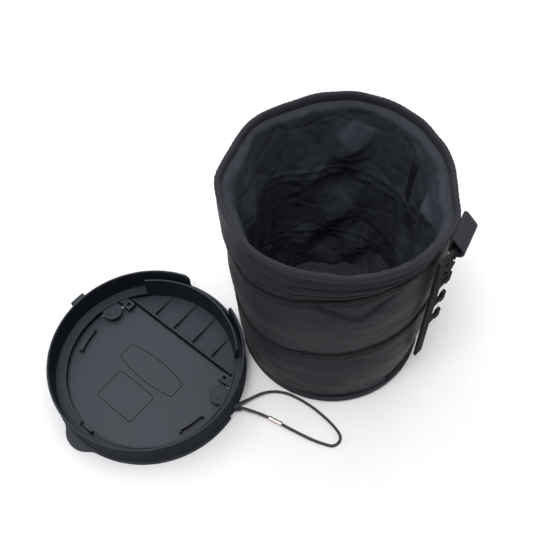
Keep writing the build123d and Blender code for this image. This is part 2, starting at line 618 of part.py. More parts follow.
# Lid flap: the cover with its lip, thumb lobe, hinge brackets, snap hook and side clips
with BuildPart() as lid_flap:
    with BuildSketch(lid) as flap_front:
        Circle(FLAP_R)
        with Locations((0, FLAP_STEP_Y)):
            Rectangle(2 * FLAP_R, 2 * FLAP_R, align=(Align.CENTER, Align.MIN), mode=Mode.SUBTRACT)
    extrude(amount=FLAP_T)
    with BuildSketch(lid):
        add(flap_front.sketch_local)
        Circle(FLAP_R - FLAP_LIP_W, mode=Mode.SUBTRACT)
    extrude(amount=FLAP_LIP_T)
    with BuildSketch(lid.rotated((0, 0, LOBE_ANGLE))):
        with BuildLine():
            ThreePointArc(lip_point, hollow, tip_point)
            ThreePointArc(tip_point, (LOBE_OUT, 0), (tip_point.X, -tip_point.Y))
            ThreePointArc((tip_point.X, -tip_point.Y), (hollow.X, -hollow.Y), (lip_point.X, -lip_point.Y))
            Line((lip_point.X, -lip_point.Y), lip_point)
        make_face()
    extrude(amount=FLAP_LIP_T)
    with BuildSketch(lid):
        Circle(FOOT_IN_R - FLAP_SIDE_GAP)
        with Locations((0, FLAP_REAR_Y)):
            Rectangle(2 * LID_R, 2 * LID_R, align=(Align.CENTER, Align.MIN), mode=Mode.SUBTRACT)
        for side in (-1, 1):
            with Locations((side * (ARM_X - PLAY + LID_R) / 2, HINGE_Y - ARM_W)):
                Rectangle(
                    LID_R - ARM_X + PLAY, LID_R, align=(Align.CENTER, Align.MIN), mode=Mode.SUBTRACT
                )
    extrude(amount=FLAP_T)
    fillet(
        lid_flap.edges().filter_by_position(lid_depth, FLAP_REAR_Y - SEAT, FLAP_REAR_Y + SEAT)
        .filter_by_position(Axis.Z, -SEAT, SEAT),
        FLAP_REAR_ROUND,
    )
    with BuildSketch(lid.offset(FLAP_T)):
        with Locations((-BRACKET_X, HINGE_Y), (BRACKET_X, HINGE_Y)):
            Rectangle(BRACKET, BRACKET)
    extrude(amount=BRACKET_Z - FLAP_T)
    with BuildSketch(lid_section(90)):
        with Locations((HINGE_Y, HINGE_Z)):
            Circle(PIN_D / 2 + PIN_PLAY)
    extrude(amount=LID_R, both=True, mode=Mode.SUBTRACT)
    with BuildSketch(lid.offset(HINGE_Z)):
        with Locations((-BRACKET_X, HINGE_Y), (BRACKET_X, HINGE_Y)):
            Rectangle(BRACKET_WINDOW, PIN_D + 2 * PIN_PLAY)
    extrude(amount=BRACKET_Z - HINGE_Z, mode=Mode.SUBTRACT)
    with BuildSketch(lid_section(-90)):
        Polygon(
            (LATCH_R - LATCH_T / 2, FLAP_T),
            (LATCH_R + LATCH_T / 2, FLAP_T),
            (LATCH_R + LATCH_T / 2, LATCH_Z - 2 * LATCH_BARB),
            (LATCH_R + LATCH_T / 2 + LATCH_BARB, LATCH_Z - LATCH_BARB),
            (LATCH_R + LATCH_T / 2, LATCH_Z),
            (LATCH_R - LATCH_T / 2, LATCH_Z),
            align=None,
        )
    extrude(amount=LATCH_W / 2, both=True)
    for clip_angle in (CLIP_ANGLE, 180 - CLIP_ANGLE):
        with BuildSketch(lid_section(clip_angle - CLIP_ARC)):
            with Locations((CLIP_R, FLAP_T)):
                Rectangle(CLIP_T, CLIP_H, align=(Align.CENTER, Align.MIN))
        revolve(axis=lid_axis, revolution_arc=2 * CLIP_ARC)
        for end in (-CLIP_ARC, CLIP_ARC):
            with BuildSketch(lid_section(clip_angle + end)):
                with Locations((CLIP_R - CLIP_T / 2, FLAP_T)):
                    Rectangle(CLIP_POST, CLIP_H + PIP_H, align=Align.MIN)
            extrude(amount=CLIP_T / 2, both=True)
lid_flap.part.label = "lid_flap"

# Hinge pins: one on each side, in the collar's arms
with BuildPart() as hinge_pins:
    for pin_x in (BRACKET_X - BRACKET / 2, -BRACKET_X + BRACKET / 2 - PIN_LEN):
        with BuildSketch(lid_section(90).offset(pin_x)):
            with Locations((HINGE_Y, HINGE_Z)):
                Circle(PIN_D / 2)
        extrude(amount=PIN_LEN)
hinge_pins.part.label = "hinge_pins"


def bend_radii(points):
    """Radius at each bend of a limp cord: as large as the shorter of its two runs allows."""
    radii = []
    for before, at, after in zip(points, points[1:], points[2:]):
        run_in = Vector(at) - Vector(before)
        run_out = Vector(after) - Vector(at)
        turn = radians(run_in.get_angle(run_out))
        radii.append(BEND_SHARE * min(run_in.length, run_out.length) / tan(turn / 2))
    return radii


# Elastic loop: one cord from the boss round to the boss again
cord_radii = bend_radii(CORD_POINTS)
with BuildPart() as elastic_cord:
    with BuildLine() as cord_path:
        FilletPolyline(*CORD_POINTS, radius=cord_radii)
    with BuildSketch(Plane(origin=cord_path.line @ 0, z_dir=cord_path.line % 0)):
        RegularPolygon(CORD_D / 2, CORD_SIDES)
    sweep(path=cord_path.line)
elastic_cord.part.label = "elastic_cord"

# Crimp that joins the loop, on its longest straight run
cord_runs = [(Vector(start), Vector(end)) for start, end in zip(CORD_POINTS, CORD_POINTS[1:])]
run_start, run_end = max(cord_runs, key=lambda run: (run[1] - run[0]).length)
with BuildPart() as cord_ferrule:
    with BuildSketch(Plane(origin=(run_start + run_end) * 0.5, z_dir=run_end - run_start)):
        Circle(FERRULE_D / 2)
        Circle(CORD_D / 2 + SEAT, mode=Mode.SUBTRACT)
    extrude(amount=FERRULE_L / 2, both=True)
cord_ferrule.part.label = "cord_ferrule"

PIECES = (
    outer_wall, outer_base, inner_lining, lining_base, base_binding, rim_binding, top_hoop,
    base_hoop, coil_spring, spring_sleeve, webbing_loop, hook_strip, lid_ring, lid_flap,
    hinge_pins, elastic_cord, cord_ferrule,
)
for piece in PIECES:
    export_step(piece.part, f"parts/{piece.part.label}.step")

print("cord bend radii", [round(radius, 1) for radius in cord_radii])
print("cord length", round(sum(edge.length for edge in cord_path.edges()), 1))
print("strip axis", tongue_axis, "direction", toward(LOOP_AZ + 90))
print("flap axis", lid.from_local_coords(Vector(0, HINGE_Y, HINGE_Z)), "direction", lid.x_dir)
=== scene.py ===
# %% [markdown]
# A pop-up car trash bin. The real one is a nylon barrel on a coil of spring wire, with a loose
# waterproof lining and a moulded lid. The lid is off and lies upside down beside the barrel.
# The CAD frame holds the hard parts at their true sizes. This lesson keeps those solids, gives them
# real finishes, and replaces the soft ones by cloth that swells, gathers and creases.

# %% Load the CAD frame
from math import atan2, cos, degrees, exp, pi, radians, sin, tanh

import bmesh
import bpy
from mathutils import Matrix, Vector, noise
from mathutils.bvhtree import BVHTree


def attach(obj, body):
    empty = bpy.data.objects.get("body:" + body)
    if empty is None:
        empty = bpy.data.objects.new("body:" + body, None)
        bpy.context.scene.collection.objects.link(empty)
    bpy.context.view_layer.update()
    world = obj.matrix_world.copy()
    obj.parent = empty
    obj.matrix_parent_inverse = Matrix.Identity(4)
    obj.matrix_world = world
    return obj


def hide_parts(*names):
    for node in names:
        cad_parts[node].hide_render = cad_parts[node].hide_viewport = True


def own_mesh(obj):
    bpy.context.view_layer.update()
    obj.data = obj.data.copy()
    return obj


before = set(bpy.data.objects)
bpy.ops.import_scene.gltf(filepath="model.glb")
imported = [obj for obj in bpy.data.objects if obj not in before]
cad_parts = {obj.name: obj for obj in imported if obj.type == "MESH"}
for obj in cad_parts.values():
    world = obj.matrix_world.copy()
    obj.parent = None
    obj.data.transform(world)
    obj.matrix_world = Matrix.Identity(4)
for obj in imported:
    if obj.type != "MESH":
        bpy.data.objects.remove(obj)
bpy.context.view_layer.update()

MM = 0.001

# %% [markdown]
# The camera comes first, so that each later piece can be compared with the photograph. Its place
# was fitted to the round edges of barrel and lid. It looks steeply down and is a little rolled.
# A matrix built from the view direction says this more plainly than three Euler angles.

# %% Camera at the photograph's viewpoint
PHOTO_PX = 540
FOCAL_PX = 739.7
SENSOR_MM = 36.0
CAMERA_MM = Vector((-47.0, -313.5, 599.07))
PITCH, YAW, ROLL = radians(58.27), radians(-0.917), radians(-2.063)
AXIS_RISE_PX = 1.0      # the lens axis meets the photograph this far above its middle

forward = Vector((sin(YAW) * cos(PITCH), cos(YAW) * cos(PITCH), -sin(PITCH)))
right = Vector((cos(YAW), -sin(YAW), 0))
level_view = Matrix((right, right.cross(forward), -forward)).transposed()
camera = bpy.data.objects.new("camera", bpy.data.cameras.new("camera"))
camera.matrix_world = (level_view @ Matrix.Rotation(ROLL, 3, "Z")).to_4x4()
camera.location = CAMERA_MM * MM
camera.data.sensor_width = SENSOR_MM
camera.data.lens = SENSOR_MM * FOCAL_PX / PHOTO_PX
camera.data.shift_y = -AXIS_RISE_PX / PHOTO_PX
bpy.context.collection.objects.link(camera)
bpy.context.scene.camera = camera
bpy.context.scene.view_settings.view_transform = "Standard"
print("lens", round(camera.data.lens, 2), "mm")

# %% [markdown]
# A material is a small graph of nodes. One function adds a node, sets its values and links it, and a
# few more make what most finishes share: noise, bands, ramps, a colour between two others, bumps. So
# each finish reads as a short list of what its surface is. Colours are written as on a screen, in
# sRGB hex, and turned to the linear values that the renderer wants.

# %% Helpers for materials


def linear(hex_colour):
    """Linear RGBA of an sRGB hex colour."""
    shares = [int(hex_colour[place:place + 2], 16) / 255 for place in (1, 3, 5)]
    return [s / 12.92 if s <= 0.04045 else ((s + 0.055) / 1.055) ** 2.4 for s in shares] + [1.0]


def node(tree, kind, inputs=None, **settings):
    """Adds one node. Each input is a value, or the output socket of another node."""
    added = tree.nodes.new("ShaderNode" + kind)
    for name, value in settings.items():
        setattr(added, name, value)
    for name, value in (inputs or {}).items():
        if isinstance(value, bpy.types.NodeSocket):
            tree.links.new(value, added.inputs[name])
        else:
            added.inputs[name].default_value = value
    return added


def new_material(name, **values):
    """A named material and its node tree, with plain values set on its shader."""
    material = bpy.data.materials.new(name)
    material.use_nodes = True
    shader = material.node_tree.nodes["Principled BSDF"]
    for socket, value in values.items():
        shader.inputs[socket.replace("_", " ")].default_value = value
    return material, material.node_tree


def drive(tree, **outputs):
    """Links outputs of nodes to sockets of the material's shader."""
    shader = tree.nodes["Principled BSDF"]
    for socket, output in outputs.items():
        tree.links.new(output, shader.inputs[socket.replace("_", " ")])


def combine(tree, operation, *values, **settings):
    """Output of an arithmetic node."""
    return node(tree, "Math", dict(enumerate(values)), operation=operation, **settings).outputs[0]


def ramp(tree, value, start=0.0, end=1.0, low=0.0, high=1.0):
    """Output that goes from low to high, and no further, as a value goes from start to end."""
    ends = {"From Min": start, "From Max": end, "To Min": low, "To Max": high}
    return node(tree, "MapRange", {"Value": value, **ends}).outputs["Result"]


def clouds(tree, place, scale, detail=2.0, **more):
    """Outputs of a soft noise."""
    return node(tree, "TexNoise", {"Vector": place, "Scale": scale, "Detail": detail, **more}).outputs


def bands(tree, place, spacing, direction, **more):
    """Output of waves that lie a spacing apart."""
    return node(tree, "TexWave", {"Vector": place, "Scale": ONE_BAND / spacing, **more},
                bands_direction=direction).outputs["Fac"]


def between(tree, share, dark, pale):
    """Output that goes from one colour to another with a share. Each is a hex colour or an output."""
    first, second = (linear(end) if isinstance(end, str) else end for end in (dark, pale))
    return node(tree, "MixRGB", {"Fac": share, "Color1": first, "Color2": second}).outputs["Color"]


def bumps(tree, height, strength, depth_mm, **under):
    """Normal of a bumpy surface, laid over another normal where one is given."""
    return node(tree, "Bump", {"Height": height, "Strength": strength, "Distance": depth_mm * MM,
                               **under}).outputs["Normal"]


def crossed_waves(tree, place, spacing, directions):
    """Threads of a plain weave: two sets of waves that cross."""
    return combine(tree, "MULTIPLY", *(bands(tree, place, spacing, way) for way in directions))


def speckled(name, dark, pale, specks_per_m, detail=2.0, **values):
    """A material whose colour wanders between two hex colours."""
    material, tree = new_material(name, **values)
    specks = clouds(tree, node(tree, "TexCoord").outputs["Object"], specks_per_m, detail)["Fac"]
    drive(tree, Base_Color=between(tree, specks, dark, pale))
    return material


ONE_BAND = pi / 10      # a Wave texture of this scale has one band in one unit
print("material helpers ready")

# %% [markdown]
# The studio has four soft lights. The broad one hangs above and a little behind, which puts the pale
# sheen on the lid's floor. A smaller one hangs in front and shines into the barrel's mouth, so that
# the lining's folds show, and two weak ones fill the sides. The world is dim, because walls that face
# the camera are dark in the photograph. It looks white all the same: its strength is 1 for rays from
# the camera and for rays that a mirror or glass passes on, and dim for all others.

# %% World and lamps
WORLD_LIGHT = 0.13
LAMPS = [            # name, place, aim, size and watts
    ("overhead softbox", (-0.05, 0.45, 1.5), (-0.05, 0.0, 0.0), 2.0, 22.0),
    ("front softbox", (-0.25, -0.4, 1.5), (0.0, 0.0, 0.1), 0.5, 12.0),
    ("left fill", (-1.2, 0.1, 0.8), (0.0, 0.0, 0.1), 0.9, 2.6),
    ("right fill", (1.2, 0.1, 0.8), (0.0, 0.0, 0.1), 0.9, 4.0),
]


def studio_lamp(name, place, aim, size, watts):
    """A square softbox that points at a place."""
    lamp = bpy.data.lights.new(name, "AREA")
    lamp.size = size
    lamp.energy = watts
    holder = bpy.data.objects.new(name, lamp)
    holder.location = place
    holder.rotation_euler = (Vector(aim) - Vector(place)).to_track_quat("-Z", "Y").to_euler()
    bpy.context.collection.objects.link(holder)


def shown_rays(tree):
    """Output that is 1 for rays from the camera, a mirror or glass, and 0 for all others."""
    ray = node(tree, "LightPath").outputs
    passed_on = combine(tree, "ADD", ray["Is Glossy Ray"], ray["Is Transmission Ray"])
    return combine(tree, "ADD", ray["Is Camera Ray"], passed_on, use_clamp=True)


world = bpy.data.worlds.new("pale studio")
world.use_nodes = True
backdrop = world.node_tree.nodes["Background"]
backdrop.inputs["Color"].default_value = linear("#FFFFFF")
glow = ramp(world.node_tree, shown_rays(world.node_tree), low=WORLD_LIGHT)
world.node_tree.links.new(glow, backdrop.inputs["Strength"])
bpy.context.scene.world = world
for lamp in LAMPS:
    studio_lamp(*lamp)
print("studio: world", WORLD_LIGHT, "and", len(LAMPS), "lamps")

# %% [markdown]
# The bin stands on a sweep of white paper. Far from the bin, where the lamps no longer reach, the
# paper fades to the same white as the world, so the horizon hardly shows.

# %% White sweep
FLOOR_SIZE = 5.0
FLOOR_DROP = 0.0004               # it lies this far under the part, so that neither cuts the other
FADE_FROM, FADE_TO = 0.5, 1.1     # distance from the barrel at which the sweep turns white

white_sweep = speckled("white paper sweep", "#F2F1F4", "#F6F5F7", specks_per_m=40.0, Roughness=0.9,
                       Specular_IOR_Level=0.2)
tree = white_sweep.node_tree
place = node(tree, "TexCoord").outputs["Object"]
distance = node(tree, "VectorMath", {0: place}, operation="LENGTH").outputs["Value"]
haze = combine(tree, "MULTIPLY", ramp(tree, distance, FADE_FROM, FADE_TO), shown_rays(tree))
paper = tree.nodes["Principled BSDF"].outputs[0]
white = node(tree, "Emission", {"Color": linear("#FFFFFF")}).outputs[0]
faded = node(tree, "MixShader", {0: haze, 1: paper, 2: white}).outputs[0]
tree.links.new(faded, tree.nodes["Material Output"].inputs["Surface"])

bm = bmesh.new()
bmesh.ops.create_grid(bm, x_segments=1, y_segments=1, size=FLOOR_SIZE / 2)
bmesh.ops.translate(bm, vec=(0, 0, -FLOOR_DROP), verts=bm.verts)
floor = bpy.data.objects.new("floor", bpy.data.meshes.new("floor"))
bm.to_mesh(floor.data)
bm.free()
floor.data.materials.append(white_sweep)
bpy.context.collection.objects.link(floor)
print("white sweep", FLOOR_SIZE, "m wide")

# %% [markdown]
# The barrel's outer cloth is plain-woven black nylon, about 0.35 mm from thread to thread. That is
# too fine for the picture, so the weave is drawn at 1 mm. Two bands of waves across the cloth's own
# UV map, which is in millimetres, cross to make the threads. A soft noise varies the shade, as
# handling does, and a little sheen stands for the fibres.

# %% Woven nylon
WEAVE_MM = 1.0
DRAG_MM = (55.0, 7.0)             # length and width of the fine drag wrinkles
woven_nylon, tree = new_material("woven black nylon", Roughness=0.55, IOR=1.53,
                                 Specular_IOR_Level=0.06, Sheen_Weight=0.03, Sheen_Roughness=0.4)
cloth_uv = node(tree, "UVMap", uv_map="cloth").outputs["UV"]
threads = crossed_waves(tree, cloth_uv, WEAVE_MM, "XY")
dragged = node(tree, "Mapping", {"Vector": cloth_uv, "Scale": (1 / DRAG_MM[0], 1 / DRAG_MM[1], 1)})
drag = clouds(tree, dragged.outputs["Vector"], scale=1.0, detail=3.0, Distortion=0.6)["Fac"]
handling = clouds(tree, cloth_uv, scale=0.03, detail=4.0)["Fac"]
shade = between(tree, handling, "#1B1A1F", "#25242A")
drag_normal = bumps(tree, drag, strength=0.35, depth_mm=1.6)
drive(tree, Base_Color=between(tree, threads, shade, "#2A292F"),
      Normal=bumps(tree, threads, strength=0.35, depth_mm=0.1, Normal=drag_normal))
print(woven_nylon.name, "with threads every", WEAVE_MM, "mm")

# %% [markdown]
# The lining is a thin coated taffeta, waterproof and a little glossy, so its creases catch the light.
# Crease lines come from the cracks between Voronoi cells a few centimetres wide, and a finer noise
# puckers the coating in between. Its lowest part is darker, as painted shade, and rougher. Its
# uppermost strip is the facing, folded in from the outside, which is darker too.

# %% Coated lining
CREASE_MM, CREASE_EDGE = 34.0, 0.12       # size of a cell, and its crease's share of it
BEND_MM, BEND_BY = 30.0, 0.02             # size of the creases' bends, and how far they go in metres
PUCKER_MM, PUCKER = 5.0, 0.35             # size of the puckers, and their height beside a crease's
UPPER_ROUGH, FLOOR_ROUGH = 0.3, 0.95
FLOOR_SHADE_MM = (5.0, 60.0)                    # heights between which the painted shade at the floor fades out
FLOOR_SHARE, WALL_SHARE = 0.2, 0.46         # share of the coat's colour below and above them
FACING_MM = (186.0, 198.0)                # heights between which the lining turns into its facing
FACING_SHARE = 0.65                       # what the facing keeps of the lining's colour

coated_lining, tree = new_material("coated taffeta lining", IOR=1.5, Specular_IOR_Level=0.3)
place = node(tree, "TexCoord").outputs["Object"]
bend = clouds(tree, place, 1 / (BEND_MM * MM))["Color"]
bent_place = node(tree, "MixRGB", {"Fac": BEND_BY, "Color1": place, "Color2": bend}, blend_type="ADD")
creases = node(tree, "TexVoronoi", {"Vector": bent_place.outputs["Color"],
                                    "Scale": 1 / (CREASE_MM * MM)}, feature="DISTANCE_TO_EDGE")
crease_lines = ramp(tree, creases.outputs["Distance"], end=CREASE_EDGE)
puckers = clouds(tree, place, 1 / (PUCKER_MM * MM), detail=3.0)["Fac"]
crumples = combine(tree, "MULTIPLY_ADD", puckers, PUCKER, crease_lines)
coat_shade = between(tree, puckers, "#363B45", "#4A505B")
height = node(tree, "SeparateXYZ", {"Vector": place}).outputs["Z"]
# painted shade: the colour darkens towards the bag's floor, over its lowest 60 mm
floor_shading = ramp(tree, height, FLOOR_SHADE_MM[0] * MM, FLOOR_SHADE_MM[1] * MM, FLOOR_SHARE, WALL_SHARE)
faced = ramp(tree, height, FACING_MM[0] * MM, FACING_MM[1] * MM, 1.0, FACING_SHARE)
bright = combine(tree, "MULTIPLY", floor_shading, faced)
drive(tree, Base_Color=between(tree, bright, "#1B1D22", coat_shade),
      Roughness=ramp(tree, bright, low=FLOOR_ROUGH, high=UPPER_ROUGH),
      Normal=bumps(tree, crumples, strength=0.5, depth_mm=1.0))
print(coated_lining.name, "creased every", CREASE_MM, "mm")

# %% [markdown]
# Hem tape is a narrow ribbed binding. Its ribs run along the tape, 1.4 mm apart here so that they
# show, and the tape is duller than the nylon.

# %% Ribbed hem tape
RIB_MM = 1.4
hem_tape, tree = new_material("ribbed hem tape", Roughness=0.75, IOR=1.5, Specular_IOR_Level=0.1,
                              Sheen_Weight=0.03)
tape_uv = node(tree, "UVMap", uv_map="cloth").outputs["UV"]
ribs = bands(tree, tape_uv, RIB_MM, "Y", Distortion=0.6)
fuzz = clouds(tree, tape_uv, scale=0.8, detail=3.0)["Fac"]
tape_height = combine(tree, "ADD", ribs, fuzz)
drive(tree, Base_Color=between(tree, fuzz, "#25242A", "#323138"),
      Normal=bumps(tree, tape_height, strength=0.4, depth_mm=0.15))
print(hem_tape.name, "ribbed every", RIB_MM, "mm")

# %% [markdown]
# The spring's channel is sewn from the same tape, but gathered tight, so it is duller than the hems.
# Its near-black colour is painted shade, the shade of the crease it lies in, and the hollows of its
# gathers are painted darker still. Short gathers run across it every few millimetres.

# %% Gathered channel tape
GATHER_MM = 3.5
channel_tape, tree = new_material("gathered channel tape", Roughness=0.8, IOR=1.45,
                                  Specular_IOR_Level=0.2)
channel_uv = node(tree, "UVMap", uv_map="cloth").outputs["UV"]
gathers = bands(tree, channel_uv, GATHER_MM, "X", Distortion=3.0, Detail=2.0)
# painted shade: near black overall, and darker in the hollows of the gathers
drive(tree, Base_Color=between(tree, gathers, "#121114", "#1D1C20"),
      Normal=bumps(tree, gathers, strength=0.5, depth_mm=0.4))
print(channel_tape.name, "gathered every", GATHER_MM, "mm")

# %% [markdown]
# Polypropylene for the lid is moulded black with a fine spark-eroded grain. It is satin, so the
# broad light lifts its flat faces towards dark grey, and a lighter colour on them adds painted light.
# The walls are scuffed matt as they leave the mould, and their near-black colour is painted shade, so
# the finish asks which way a face looks. A Bevel node rounds the shading of the sharp CAD edges,
# which is what a worn mould gives.

# %% Moulded black polypropylene
GRAIN_MM = 0.8
FLOW_MM, FLOW_SHADE = 60.0, 0.2   # size of the flow marks, and how much they show
FLAT_FROM, FLAT_TO = 0.3, 0.8     # upward part of the normal at which walls turn into flat faces
GLOSS_BELOW, GLOSS_ABOVE = 0.06, 0.08     # how far the flow marks vary the roughness
EDGE_MM = 0.35
WALL_ROUGH = 0.95


def moulded_plastic(where, wall, flat, roughness, shine):
    """Moulded plastic: grained satin faces in painted light, matt walls in painted shade, flow marks,
    edges.
    """
    material, tree = new_material("moulded polypropylene " + where, IOR=1.49,
                                  Specular_IOR_Level=shine)
    coordinates = node(tree, "TexCoord").outputs
    grain = clouds(tree, coordinates["Object"], 1 / (GRAIN_MM * MM))["Fac"]
    flow = clouds(tree, coordinates["Object"], 1 / (FLOW_MM * MM), detail=5.0, Roughness=0.6)["Fac"]
    upward = node(tree, "SeparateXYZ", {"Vector": coordinates["Normal"]}).outputs["Z"]
    flatness = ramp(tree, upward, FLAT_FROM, FLAT_TO)
    # painted light and shade: flat faces take the lighter colour, walls the darker one
    shade = node(tree, "MixRGB", {"Fac": FLOW_SHADE, "Color1": between(tree, flatness, wall, flat),
                                  "Color2": flow}, blend_type="OVERLAY")
    gloss = ramp(tree, flow, low=roughness - GLOSS_BELOW, high=roughness + GLOSS_ABOVE)
    edges = node(tree, "Bevel", {"Radius": EDGE_MM * MM}, samples=4).outputs["Normal"]
    drive(tree, Base_Color=shade.outputs["Color"],
          Roughness=ramp(tree, flatness, low=WALL_ROUGH, high=gloss),
          Normal=bumps(tree, grain, strength=0.12, depth_mm=0.1, Normal=edges))
    return material


# each darker wall colour is painted shade, each lighter flat colour is painted light
collar_plastic = moulded_plastic("of the collar", "#1A1F26", "#31363D", roughness=0.42, shine=0.12)
flap_plastic = moulded_plastic("of the flap", "#15181E", "#2B2F37", roughness=0.46, shine=0.25)
strip_plastic = moulded_plastic("of the strip", "#0E0F12", "#17181C", roughness=0.5, shine=0.15)
# near black: painted shade for the mould lines and the gap under the flap's rear edge
shade_black_plastic = moulded_plastic("painted as shade", "#070809", "#08090B", roughness=0.7,
                                     shine=0.05)
print("four shades of moulded plastic")

# %% [markdown]
# A few small finishes are left: drawn steel for the wires, blackened steel for the pins, soft
# aluminium for the crimp, nylon webbing, and the canvas disc under the foot. The last two are CAD
# solids, so their weave reads Object coordinates. A Mapping node turns the webbing's ribs until they
# cross the band.

# %% Wire, crimp, webbing and canvas
WEBBING_RIB_MM = 1.3
WEBBING_TURN = radians(-61.5)     # from +X to the band's width

spring_steel = speckled("drawn spring steel", "#8A8C90", "#A8AAAE", specks_per_m=400.0, Metallic=1.0,
                        Roughness=0.3)
pin_steel = speckled("blackened steel pins", "#1C1D20", "#2C2D31", specks_per_m=600.0, Metallic=1.0,
                     Roughness=0.5)
# the reddish grey in the crimp's colour is a painted reflection
crimp_metal = speckled("pressed aluminium crimp", "#A88078", "#DCD6D4", specks_per_m=400.0,
                       detail=4.0, Metallic=1.0, Roughness=0.35)


def solid_weave(name, turn, directions, rib_mm, dark, pale):
    """Woven finish for a CAD solid: two sets of waves across its Object coordinates."""
    material, tree = new_material(name, Roughness=0.72, IOR=1.53, Specular_IOR_Level=0.1,
                                  Sheen_Weight=0.03)
    turned = node(tree, "Mapping", {"Vector": node(tree, "TexCoord").outputs["Object"],
                                    "Rotation": (0, 0, turn)})
    weave = crossed_waves(tree, turned.outputs["Vector"], rib_mm * MM, directions)
    drive(tree, Base_Color=between(tree, weave, dark, pale),
          Normal=bumps(tree, weave, strength=0.5, depth_mm=0.25))
    return material


webbing = solid_weave("ribbed nylon webbing", WEBBING_TURN, "XZ", WEBBING_RIB_MM, "#222328",
                      "#3C3D44")
canvas = solid_weave("canvas of the foot", 0.0, "XY", WEAVE_MM, "#19181C", "#26252A")
print("wire, crimp, webbing and canvas ready")

# %% [markdown]
# Braided elastic has a dark sheath of crossing strands. A curve gives its tube a UV map that runs
# along and around it, so two sets of slanted waves on that map make the braid.

# %% Braided elastic
BRAID_MM = 1.6
CORD_LENGTH_MM = 202.2
CORD_GIRTH_TURNS = 3
braided_elastic, tree = new_material("braided black elastic", Roughness=0.7, IOR=1.5,
                                     Sheen_Weight=0.1)
cord_uv = node(tree, "TexCoord").outputs["UV"]
braid = []
for slant in (1, -1):
    laid = node(tree, "Mapping", {"Vector": cord_uv,
                                  "Scale": (CORD_LENGTH_MM / BRAID_MM, slant * CORD_GIRTH_TURNS, 1)})
    braid.append(bands(tree, laid.outputs["Vector"], 1, "DIAGONAL"))
strands = combine(tree, "MAXIMUM", *braid)
drive(tree, Base_Color=between(tree, strands, "#0E0E10", "#2C2C30"),
      Normal=bumps(tree, strands, strength=0.6, depth_mm=0.2))
print(braided_elastic.name, "with a strand every", BRAID_MM, "mm")

# %% [markdown]
# Sewing thread is bonded polyester, nearly matt and a shade darker than the tape it holds.

# %% Sewing thread
TWIST_MM = 0.6
hem_thread = speckled("bonded polyester thread", "#1A191D", "#27262B",
                      specks_per_m=1 / (TWIST_MM * MM), Roughness=0.6, IOR=1.53, Specular_IOR_Level=0.1)
print(hem_thread.name, "ready")

# %% [markdown]
# The elastic loop leaves the boss on the lid's collar, lies on the floor in one long loop and goes
# back into the boss. It is a cord of fixed length, so it is one NURBS curve that follows the
# points of its route, with a round bevel.

# %% Elastic loop
CORD_D = 2.5 * MM
CORD_POINTS = [
    (-0.0815, -0.0812, 0.0072),
    (-0.0705, -0.0748, 0.0046),
    (-0.0585, -0.0684, 0.0019),
    (-0.0440, -0.0682, 0.0013),
    (-0.0283, -0.0758, 0.0013),
    (-0.0140, -0.0870, 0.0013),
    (-0.0028, -0.0986, 0.0013),
    (0.0037, -0.1082, 0.0013),
    (0.0024, -0.1142, 0.0013),
    (-0.0028, -0.1175, 0.0013),
    (-0.0088, -0.1162, 0.0013),
    (-0.0203, -0.1118, 0.0015),
    (-0.0365, -0.1032, 0.0021),
    (-0.0650, -0.0866, 0.0026),
    (-0.0813, -0.0839, 0.0072),
]
route = bpy.data.curves.new("elastic_loop", "CURVE")
route.dimensions = "3D"
spline = route.splines.new("NURBS")
spline.points.add(len(CORD_POINTS) - 1)
for point, place in zip(spline.points, CORD_POINTS):
    point.co = (*place, 1)
spline.order_u = 3
spline.use_endpoint_u = True
spline.resolution_u = 10
route.bevel_depth = CORD_D / 2
route.bevel_resolution = 3
route.use_fill_caps = True
elastic_loop = bpy.data.objects.new("elastic_loop", route)
bpy.context.collection.objects.link(elastic_loop)
route.materials.append(braided_elastic)
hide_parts("elastic_cord")
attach(elastic_loop, "base")
print("elastic loop of", CORD_LENGTH_MM, "mm,", len(CORD_POINTS), "points")

# %% [markdown]
# Every new piece ends the same way. Its mesh is drawn in millimetres, scaled to metres, given its
# material and slot, and tied to the CAD body that it moves with. Soft pieces between the rim and the
# foot are tied to the base body, each with its own copy of its mesh.


def finish_piece(bm, name, material, replaced=()):
    """Makes an object of the piece from a bmesh in millimetres."""
    bmesh.ops.scale(bm, vec=(MM, MM, MM), verts=bm.verts)
    mesh = bpy.data.meshes.new(name)
    bm.to_mesh(mesh)
    bm.free()
    mesh.shade_smooth()
    mesh.materials.append(material)
    piece = bpy.data.objects.new(name, mesh)
    bpy.context.collection.objects.link(piece)
    if replaced:
        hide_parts(*replaced)
    print(name, len(mesh.polygons), "faces")
    return piece


def thicken(piece, thickness_mm, offset=-1):
    """Gives a cloth its thickness, inwards unless told otherwise."""
    wall = piece.modifiers.new("thickness", "SOLIDIFY")
    wall.thickness = thickness_mm * MM
    wall.offset = offset


def fold_with_barrel(piece):
    """Ties a soft piece to the base body and gives it its own copy of its mesh."""
    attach(piece, "base")
    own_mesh(piece)


def around(angle, radius, z):
    """Point at an angle round the barrel, in millimetres."""
    return Vector((radius * cos(radians(angle)), radius * sin(radians(angle)), z))


def cloth_grid(columns, rows, width_mm, length_mm, place):
    """A cloth: a flat grid with its UV map in millimetres, then laid where place puts each point."""
    bm = bmesh.new()
    uv = bm.loops.layers.uv.new("cloth")
    bmesh.ops.create_grid(bm, x_segments=columns, y_segments=rows, size=1, calc_uvs=True)
    for face in bm.faces:
        for loop in face.loops:
            loop[uv].uv = (loop[uv].uv.x * width_mm, loop[uv].uv.y * length_mm)
    for vert in bm.verts:
        vert.co = place((vert.co.x + 1) / 2, (vert.co.y + 1) / 2)
    bmesh.ops.remove_doubles(bm, verts=bm.verts, dist=0.01)
    return bm


